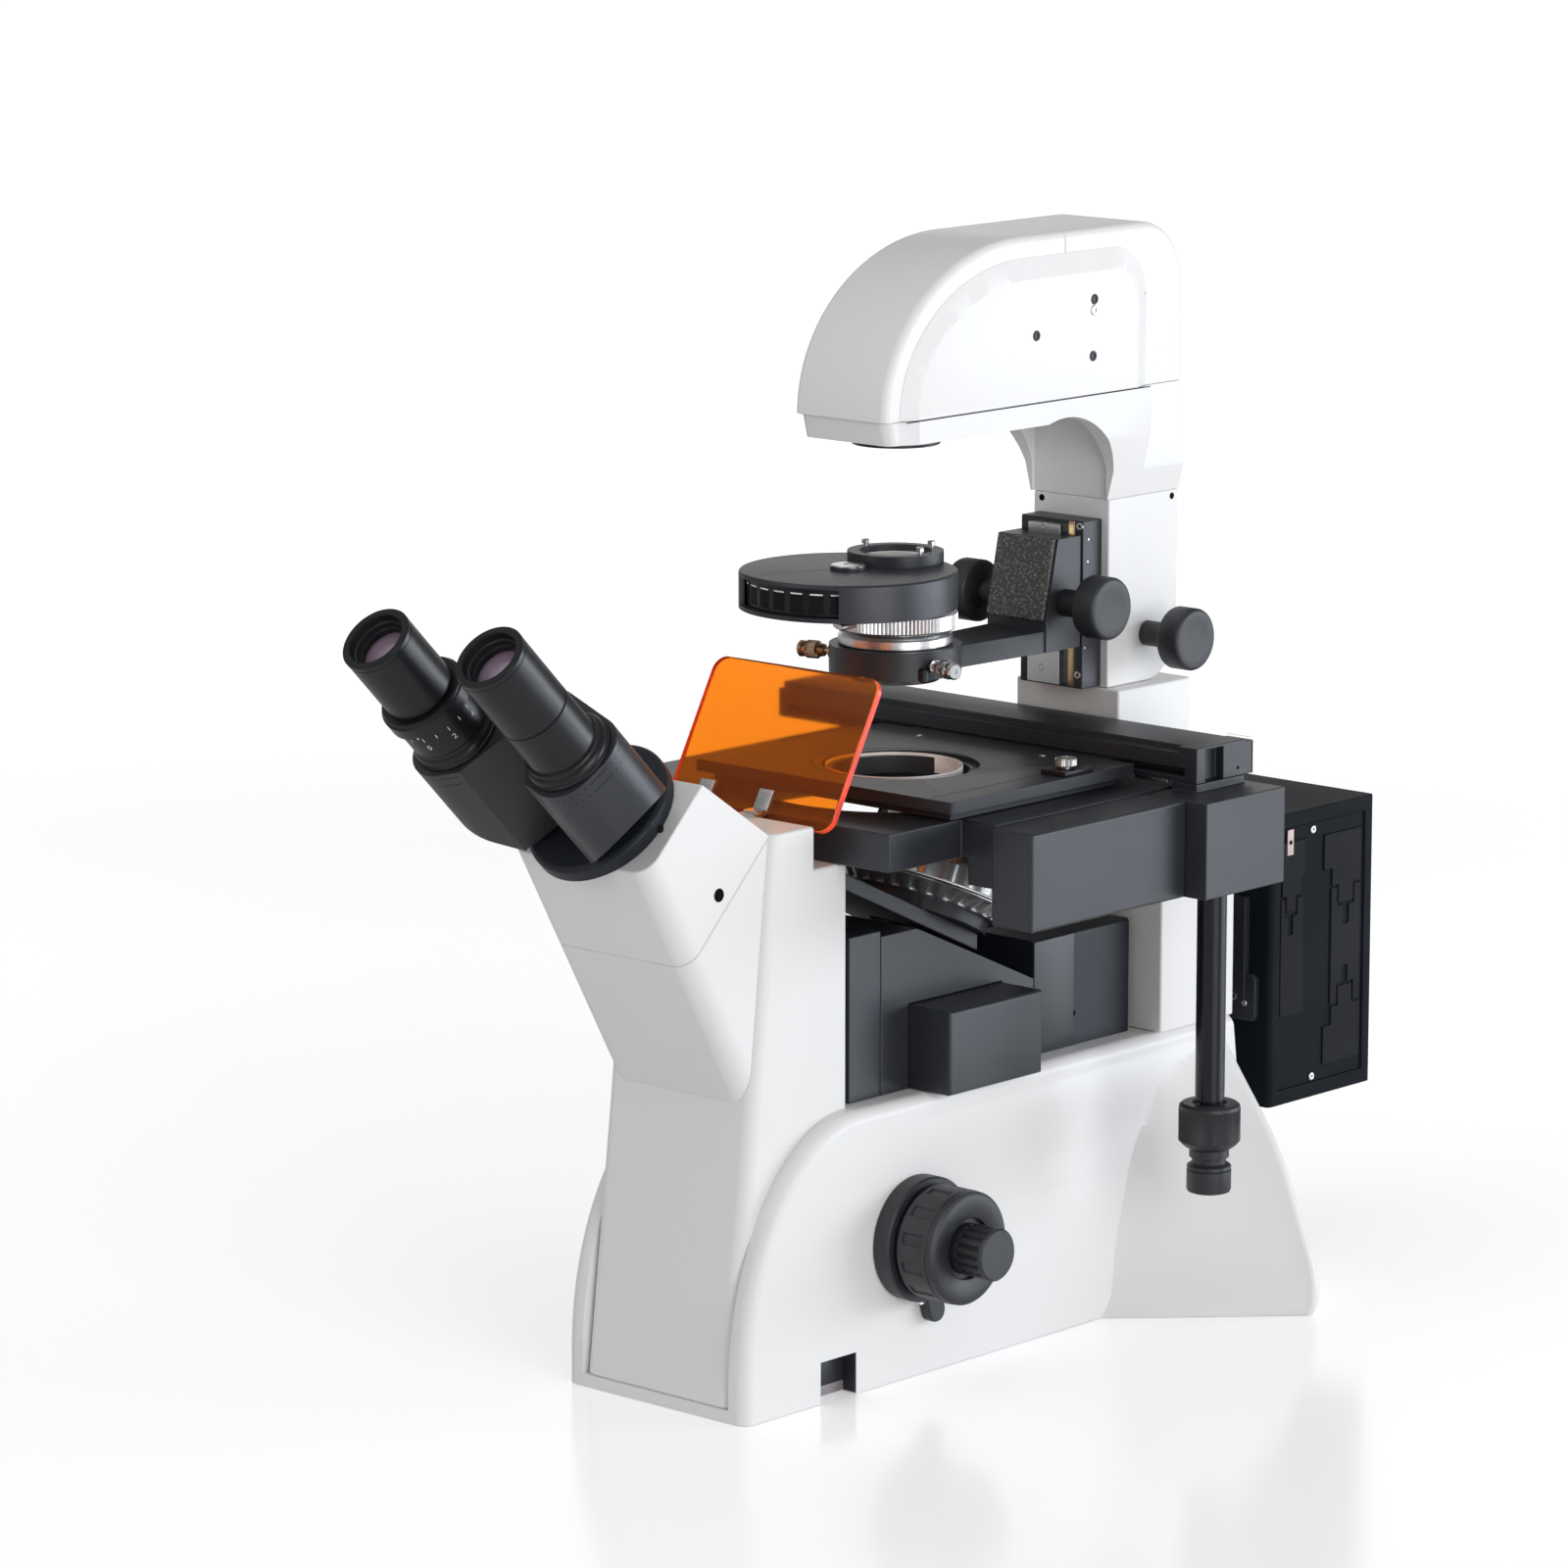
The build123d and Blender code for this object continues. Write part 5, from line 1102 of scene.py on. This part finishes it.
def makeLampSides(face, thick, screws, screwRadius, plates, tag):
    body = bodyOf["lamp_house"]
    for side in (1, -1):
        at = (side * face, 0, 0)
        made = []
        for plate in plates:
            outline = plate if side > 0 else [(-y, z) for y, z in plate][::-1]
            made.append(cutPlate("lampVent", outline, at, (0, side, 0), (0, 0, 1), thick, 0.25))
        settle(joined(f"lampVents{side}", made), body, "vent_paint")
        fastenerRow(f"lampScrews{side}", body, "bright_steel",
                    [(side * (face + 0.5), y, z) for y, z in screws], (side, 0, 0), screwRadius, 1.0, 0.4)
    (nearY, lowZ), (farY, highZ) = tag
    settle(block("lampTag", (face + thick - 0.2, nearY, lowZ), (face + thick + 0.2, farY, highZ), 0.15),
           body, "pink_tag")
    darkPlug("lampTagHole", body,
             (face + thick + 0.2, (nearY + farY) / 2, (lowZ + highZ) / 2), (1, 0, 0), 1.2)


lampFront = {"front": 225.0, "plate": ((30.0, 131.5), (54.5, 156.5)), "thick": 3.2,
             "screws": ((41.0, 144.0, 2.4), (48.0, 141.0, 1.7))}


def makeLampBracket(front, plate, thick, screws):
    # the rounded plate that carries the lamp house's catch, on its front face
    body = bodyOf["lamp_house"]
    bracket = cutPlate("lampBracket", roundedOutline(*plate, 3.5), (0, front + 0.2, 0), (1, 0, 0),
                       (0, 0, 1), thick, 0.4)
    settle(bracket, body, "black_paint")
    for n, (x, z, radius) in enumerate(screws):
        fastenerRow(f"lampBracketScrew{n}", body, "bright_steel", [(x, front - thick + 0.2, z)],
                    (0, -1, 0), radius, 1.1)


lampBack = {"rear": 312.0, "panel": ((-54.0, 94.0), (54.0, 233.0)), "grille": (0.0, 178.0),
            "rings": (10, 18, 26, 34), "screws": ((-49.0, 99.0), (49.0, 99.0), (-49.0, 228.0),
                                                  (49.0, 228.0)), "socket": ((-14.0, 108.0), (14.0, 127.0))}


def makeLampBack(rear, panel, grille, rings, screws, socket):
    # a lift-off rear panel with a round fan grille, four screws and the mains inlet
    body = bodyOf["lamp_house"]
    way = (0, 1, 0)
    cover = cutPlate("lampBackPanel", roundedOutline(*panel, 4), (0, rear - 1.2, 0), (-1, 0, 0),
                     (0, 0, 1), 1.2, 0.3)
    settle(cover, body, "vent_paint")
    at = (grille[0], rear, grille[1])
    outer = rings[-1] + 3
    settle(turnedSkin("lampGrilleWell", [(0, 0.02), (outer, 0.02), (outer + 0.4, -0.6), (0, -0.6)], at, way,
                      64), body, "dark_gap")
    parts = [turnedSkin("lampGrilleRing", [
        (radius - 0.8, -0.2), (radius + 0.8, -0.2), (radius + 0.8, 0.3), (radius + 0.3, 0.6),
        (radius - 0.3, 0.6), (radius - 0.8, 0.3), (radius - 0.8, -0.2)], at, way, 72) for radius in rings]
    for turn in range(4):
        lean = radians(45 * turn)
        spoke = block("lampGrilleSpoke", (-outer, rear - 0.3, -0.9), (outer, rear + 0.5, 0.9), 0.25)
        for vertex in spoke.data.vertices:
            x, z = vertex.co.x, vertex.co.z
            vertex.co.x = x * cos(lean) - z * sin(lean) + grille[0] * mm
            vertex.co.z = x * sin(lean) + z * cos(lean) + grille[1] * mm
        parts.append(spoke)
    settle(joined("lampGrille", parts), body, "black_paint")
    fastenerRow("lampBackScrews", body, "bright_steel", [(x, rear, z) for x, z in screws], way, 2.4, 1.0)
    frame = cutPlate("lampInlet", roundedOutline(*socket, 2), (0, rear, 0), (-1, 0, 0), (0, 0, 1), 0.8, 0.3)
    settle(frame, body, "black_knob")
    (lowX, lowZ), (highX, highZ) = socket
    hole = cutPlate("lampInletHole", roundedOutline((lowX + 3, lowZ + 3), (highX - 3, highZ - 3), 2),
                    (0, rear + 0.72, 0), (-1, 0, 0), (0, 0, 1), 0.12, 0.05)
    settle(hole, body, "dark_gap")
    pins = [block("inletPin", (x - 0.9, rear + 0.7, z - 2), (x + 0.9, rear + 1.3, z + 2), 0.2)
            for x, z in ((-5, 116.5), (0, 119.5), (5, 116.5))]
    settle(joined("lampInletPins", pins), body, "brass")


print("lamp house")
makeLampSides(**lampSides)
makeLampBracket(**lampFront)
makeLampBack(**lampBack)


# Arm, column and head: the lens's ring, screws, plugs and parting lines

armSides = {"face": 34.0, "black": ((66.5, 503.5), (110.4, 489.4), (111.2, 517.9)),
            "grey": ((110.9, 512.4),), "radius": 2.7, "seamHeight": 469.65, "seam": (-31.0, 156.0)}


def makeArmSides(face, black, grey, radius, seamHeight, seam):
    body = bodyOf["arm_side_panels"]
    for side in (1, -1):
        for name, finish, places in (("armScrewsBlack", "black_knob", black),
                                     ("armScrewsGrey", "bright_steel", grey)):
            fastenerRow(f"{name}{side}", body, finish, [(side * face, y, z) for y, z in places],
                        (side, 0, 0), radius, 0.6)
        ends = [(side * face, y, seamHeight) for y in np.linspace(*seam, 12)]
        seamLine(f"armSeam{side}", body, ends, (side, 0, 0), 0.5, 0.03)


columnScrews = {"front": (-19.5, 135.0, 409.9), "side": (25.0, 185.2, 409.7), "radius": 1.7}


def makeColumnScrews(front, side, radius):
    body = bodyOf["illumination_column"]
    darkPlug("columnFrontPlug", body, front, (0, -1, 0), radius)
    darkPlug("columnSidePlug", body, side, (1, 0, 0), radius)
    darkPlug("columnSidePlugLeft", body, (-side[0], *side[1:]), (-1, 0, 0), radius)


headPlugs = {"face": 46.0, "plug": (-178.0, 260.0, 3.3), "setScrew": (-218.0, 298.0, 2.0)}


def makeHeadPlugs(face, plug, setScrew):
    body = bodyOf["head_housing"]
    for side in (1, -1):
        darkPlug(f"headPlug{side}", body, (side * face, *plug[:2]), (side, 0, 0), plug[2], 0.25)
        darkPlug(f"headSetScrew{side}", body, (side * face, *setScrew[:2]), (side, 0, 0), setScrew[2], 0.2)


lensMount = {"low": 453.8, "high": 459.0, "outer": 22.3, "inner": 19.0}


def makeLensMount(low, high, outer, inner):
    # the black ring that holds the illuminator's lens under the arm
    ring = turnedSkin("lensMount", [(inner, low), (outer - 0.5, low), (outer, low + 0.5), (outer, high),
                                    (inner, high), (inner, low)], (0, 0, 0), (0, 0, 1), 96)
    settle(ring, bodyOf["field_lens"], "black_anodised")


print("arm and head fasteners")
makeLensMount(**lensMount)
makeArmSides(**armSides)
makeColumnScrews(**columnScrews)
makeHeadPlugs(**headPlugs)


# Rail: brass strip, sunk heads and the small fixings on its side

railFittings = {"front": 120.0, "panHeads": ((18.2, 400.2), (17.6, 323.9)),
                "panRadius": 2.3, "sunk": 1.35, "brass": ((11.2, 318.0), (15.0, 402.6)), "rackFront": 113.6,
                "rackSunk": 0.42, "rackScrews": ((-1.2, 326.8), (0.0, 399.4)), "side": 20.5,
                "dots": ((124.3, 393.5), (123.7, 382.2), (121.8, 338.2))}


def makeRailFittings(front, panHeads, panRadius, sunk, brass, rackFront, rackSunk, rackScrews, side, dots):
    body = bodyOf["condenser_rail"]
    # the heads sit in counterbores, because the carrier passes over them
    heads = [(x, front + sunk, z) for x, z in panHeads]
    fastenerRow("railPanHeads", body, "bright_steel", heads, (0, -1, 0), panRadius, 1.5, 0.4)
    (lowX, lowZ), (highX, highZ) = brass
    settle(block("railBrass", (lowX, front - 0.2, lowZ), (highX, front + 0.2, highZ), 0.12), body, "brass")
    heads = [(x, rackFront + rackSunk, z) for x, z in rackScrews]
    fastenerRow("rackScrews", body, "bright_steel", heads, (0, -1, 0), 2.0, 0.5)
    for n, (y, z) in enumerate(dots):
        fastenerRow(f"railDot{n}", body, "bright_steel", [(side, y, z)], (1, 0, 0), 0.7, 0.25, 0.3)


print("rail fittings")
makeRailFittings(**railFittings)


# Stage: plate fittings, guide bar's end and clips

plateFittings = {"top": 293.0, "screws": ((-40.5, 65.0), (41.5, 65.0)), "screwRadius": 1.9,
                 "clip": ((71.0, 28.0), (87.0, 50.0)), "clipHigh": 295.6, "thumb": (79.5, 37.5),
                 "thumbRadius": 5.4, "liner": (34.0, 33.3, 283.2, 292.4), "insert": 41.0,
                 "line": ((73.0, -56.0), (73.0, 27.5))}


def makePlateFittings(top, screws, screwRadius, clip, clipHigh, thumb, thumbRadius, liner, insert, line):
    body = bodyOf["specimen_plate"]
    fastenerRow("plateScrews", body, "bright_steel", [(x, y, top) for x, y in screws], (0, 0, 1),
                screwRadius, 0.35)
    (lowX, lowY), (highX, highY) = clip
    settle(block("plateClip", (lowX, lowY, top - 0.1), (highX, highY, clipHigh), 0.5), body,
           "black_anodised")
    foot = clipHigh - 0.2
    knob = turnedSkin("plateThumb", [
        (0, foot), (2.4, foot), (2.4, foot + 1.0),
        *around(thumbRadius, foot, (-0.5, 1.2), (0, 1.7), (0, 1.8), (0, 4.8), (0, 4.9), (-0.6, 5.5)),
        (thumbRadius * 0.5, foot + 5.5), (thumbRadius * 0.45, foot + 5.2),
        (0, foot + 5.2)], (*thumb, 0), (0, 0, 1), 120, knurl(30, 0.3, foot + 1.75, foot + 4.85))
    settle(knob, body, "bright_steel")
    outer, inner, low, high = liner
    # a pale sleeve on the opening's wall: painted light, for the light that catches the opening's rim from
    # beneath
    ring = turnedSkin("plateOpeningLitWall", [
        (inner, low), (outer - 0.02, low), (outer - 0.02, high), (inner + 0.3, high), (inner, high - 0.4),
        (inner, low)], (0, 0, 0), (0, 0, 1), 128)
    settle(ring, body, "pale_liner")
    circle = [(insert * cos(a), insert * sin(a), top) for a in np.linspace(0, 2 * pi, 97)]
    seamLine("plateInsertSeam", body, circle, (0, 0, 1), 0.6, 0.03)
    seamLine("plateEdgeLine", body, [(x, y, top) for x, y in line], (0, 0, 1), 0.5, 0.03)


barEnd = {"end": 124.0, "dot": (117.6, 290.2, 0.9), "seam": (108.0, 129.0, 304.0),
          "clips": (((84.0, 85.4, 284.3), (105.0, 87.6, 286.15)),
                    ((108.5, 86.4, 284.7), (116.0, 88.4, 286.15)),
                    ((-20.0, 85.4, 293.2), (-4.0, 86.2, 294.4)))}


def makeBarEnd(end, dot, seam, clips):
    body = bodyOf["x_guide_bar"]
    darkPlug("barDot", body, (end, *dot[:2]), (1, 0, 0), dot[2])
    near, rear, high = seam
    seamLine("barCapSeam", body, [(end, rear, high - 18), (end, rear, high - 1.2)], (1, 0, 0), 0.9, 0.03)
    seamLine("barCapSeamTop", body, [(near, rear, high), (end - 1, rear, high)], (0, 0, 1), 0.7, 0.02)
    made = [block("barClip", *ends, 0.3) for ends in clips]
    settle(joined("barClips", made), body, "bright_steel")


stem = {"at": (130.0, 91.0), "radius": 7.42, "low": 125.2, "high": 233.2}


def makeStem(at, radius, low, high):
    # the polished tube round the stage drive's shafts
    sleeve = turnedSkin("stemSleeve", [(radius - 0.3, low), (radius, low + 0.4), (radius, high),
                                       (radius - 0.3, high)], (*at, 0), (0, 0, 1), 64)
    settle(sleeve, bodyOf["drive_housing"], "gloss_black")


print("stage fittings")
makePlateFittings(**plateFittings)
makeBarEnd(**barEnd)
makeStem(**stem)


# Phase turret: centre cap, annulus screws and the dial's tabs in the window

turretFittings = {"at": (0.0, -35.0), "top": 396.7,
                  "cap": 8.6, "ringTop": 400.5, "screws": (182.0, -10.0, 64.0), "screwReach": 19.3,
                  "glass": (17.8, 397.2), "discRadius": 50.68, "tabs": 30, "tabLow": 380.6, "tabHigh": 389.4,
                  "holderPin": (-24.0, 33.6, 2.4, 339.0, 346.4)}


def makeTurretFittings(at, top, cap, ringTop, screws, screwReach, glass, discRadius, tabs, tabLow,
                       tabHigh, holderPin):
    body = bodyOf["turret_case"]
    plate = turnedSkin("turretCap", [
        (0, top - 0.2), *around(cap, top, (0, -0.2), (0, 0.2), (-0.5, 0.6)), (cap * 0.3, top + 0.7),
        (cap * 0.26, top + 0.4), (0, top + 0.4)], (*at, 0), (0, 0, 1), 72)
    settle(plate, body, "bright_steel")
    heads = []
    for turn in screws:
        place = screwReach * arr([cos(radians(turn)), sin(radians(turn))])
        heads.append(turnedSkin("annulusScrew", [
            (0, ringTop - 0.3), (1.0, ringTop - 0.3), (1.0, ringTop + 1.2), (2.0, ringTop + 1.4),
            (2.0, ringTop + 3.2), (1.6, ringTop + 3.6), (0.7, ringTop + 3.6), (0.7, ringTop + 3.0),
            (0, ringTop + 3.0)], (*place, 0), (0, 0, 1), 28))
    settle(joined("annulusScrews", heads), body, "bright_steel")
    reach, level = glass
    settle(turnedSkin("annulusGlass", [
        (0, level - 1.2), *around(reach, level, (0, -1.2), (0, 0), (-1.4, 0), (-1.8, -0.3)),
        (0, level - 0.3)], (0, 0, 0), (0, 0, 1), 72), body, "pale_liner")
    angles = [2 * pi * (n + 0.5) / tabs for n in range(tabs)]
    disc = bodyOf["turret_disc"]
    settle(ringTicks("turretTabs", (*at, 0), (0, 0, 1), discRadius, angles, tabLow, tabHigh, 7.4),
           disc, "vent_paint")
    # pale strips along the tabs' top edges are painted highlights where those edges catch the light
    settle(ringTicks("turretTabEdgeHighlights", (*at, 0), (0, 0, 1), discRadius, angles, tabHigh + 0.1, tabHigh + 0.8,
                     6.6), disc, "dial_print")
    turn, reach, radius, low, high = holderPin
    pin = turnedSkin("holderPin", [
        (0, low), (radius - 0.8, low), (radius, low + 0.8), (radius, high - 0.8), (radius - 0.8, high),
        (0, high)], (reach * cos(radians(turn)), reach * sin(radians(turn)), 0), (0, 0, 1), 32)
    settle(pin, bodyOf["condenser_holder"], "black_anodised")


print("turret fittings")
makeTurretFittings(**turretFittings)


# Base: the tension lever's pin, the fluorescence channel's front panels and the cable notches

basePins = {"lever": (60.6, 67.2, -54.6, 39.7, 1.9), "panel": (44.0, 45.0, 55.3, 86.4, 141.6, 199.4),
            "hole": (86.6, 158.0, 1.4)}


def makeBasePins(lever, panel, hole):
    near, far, y, z, radius = lever
    pin = turnedSkin("leverPin", [(0, near), (radius, near), (radius, far - 0.3), (radius - 0.3, far),
                                  (0.3, far), (0.25, far - 0.4), (0, far - 0.4)], (0, y, z), (1, 0, 0), 28)
    settle(pin, "tension", "bright_steel")
    # the fluorescence channel's side panels run on over the front of the illuminator case,
    # as far as a plugged seam
    near, far, frontY, rearY, low, high = panel
    body = bodyOf["illuminator_case"]
    for side in (1, -1):
        x = sorted((side * (near - 0.4), side * far))
        settle(block(f"channelPanel{side}", (x[0], frontY, low), (x[1], rearY, high), 0.35),
               body, "black_paint")
        darkPlug(f"channelHole{side}", body, (side * (far - 0.95), *hole[:2]), (side, 0, 0), hole[2], 0.9)


cableNotch = {"inner": 50.7, "front": -121.0, "rear": -95.0, "step": 5.5, "high": 21.0,
              "thick": 0.5, "deep": 8.9}


def makeCableNotch(inner, front, rear, step, high, thick, deep):
    # the notches in the base's sides get dark walls as painted shade inside them, with a paler sill at their
    # foot where the painted shade is lighter
    body = bodyOf["base_casting"]
    for side in (1, -1):
        near, far = sorted((side * (inner - 0.1), side * (inner + thick)))
        wall = block(f"notchWall{side}", (near, front + 0.1, step), (far, rear - 0.1, high - 0.2), 0.1)
        near, far = sorted((side * inner, side * (inner + deep)))
        end = block(f"notchEnd{side}", (near, rear - thick, 0.6), (far, rear + 0.1, high - 0.2), 0.1)
        settle(joined(f"notchShadeLining{side}", [wall, end]), body, "black_knob")
        near, far = sorted((side * (inner - 0.1), side * (inner + thick * 2)))
        settle(block(f"notchSill{side}", (near, front + 0.1, 0.6), (far, rear - 0.1, step), 0.1),
               body, "notch_sill")


print("base fittings")
makeBasePins(**basePins)
makeCableNotch(**cableNotch)


print("finishing")
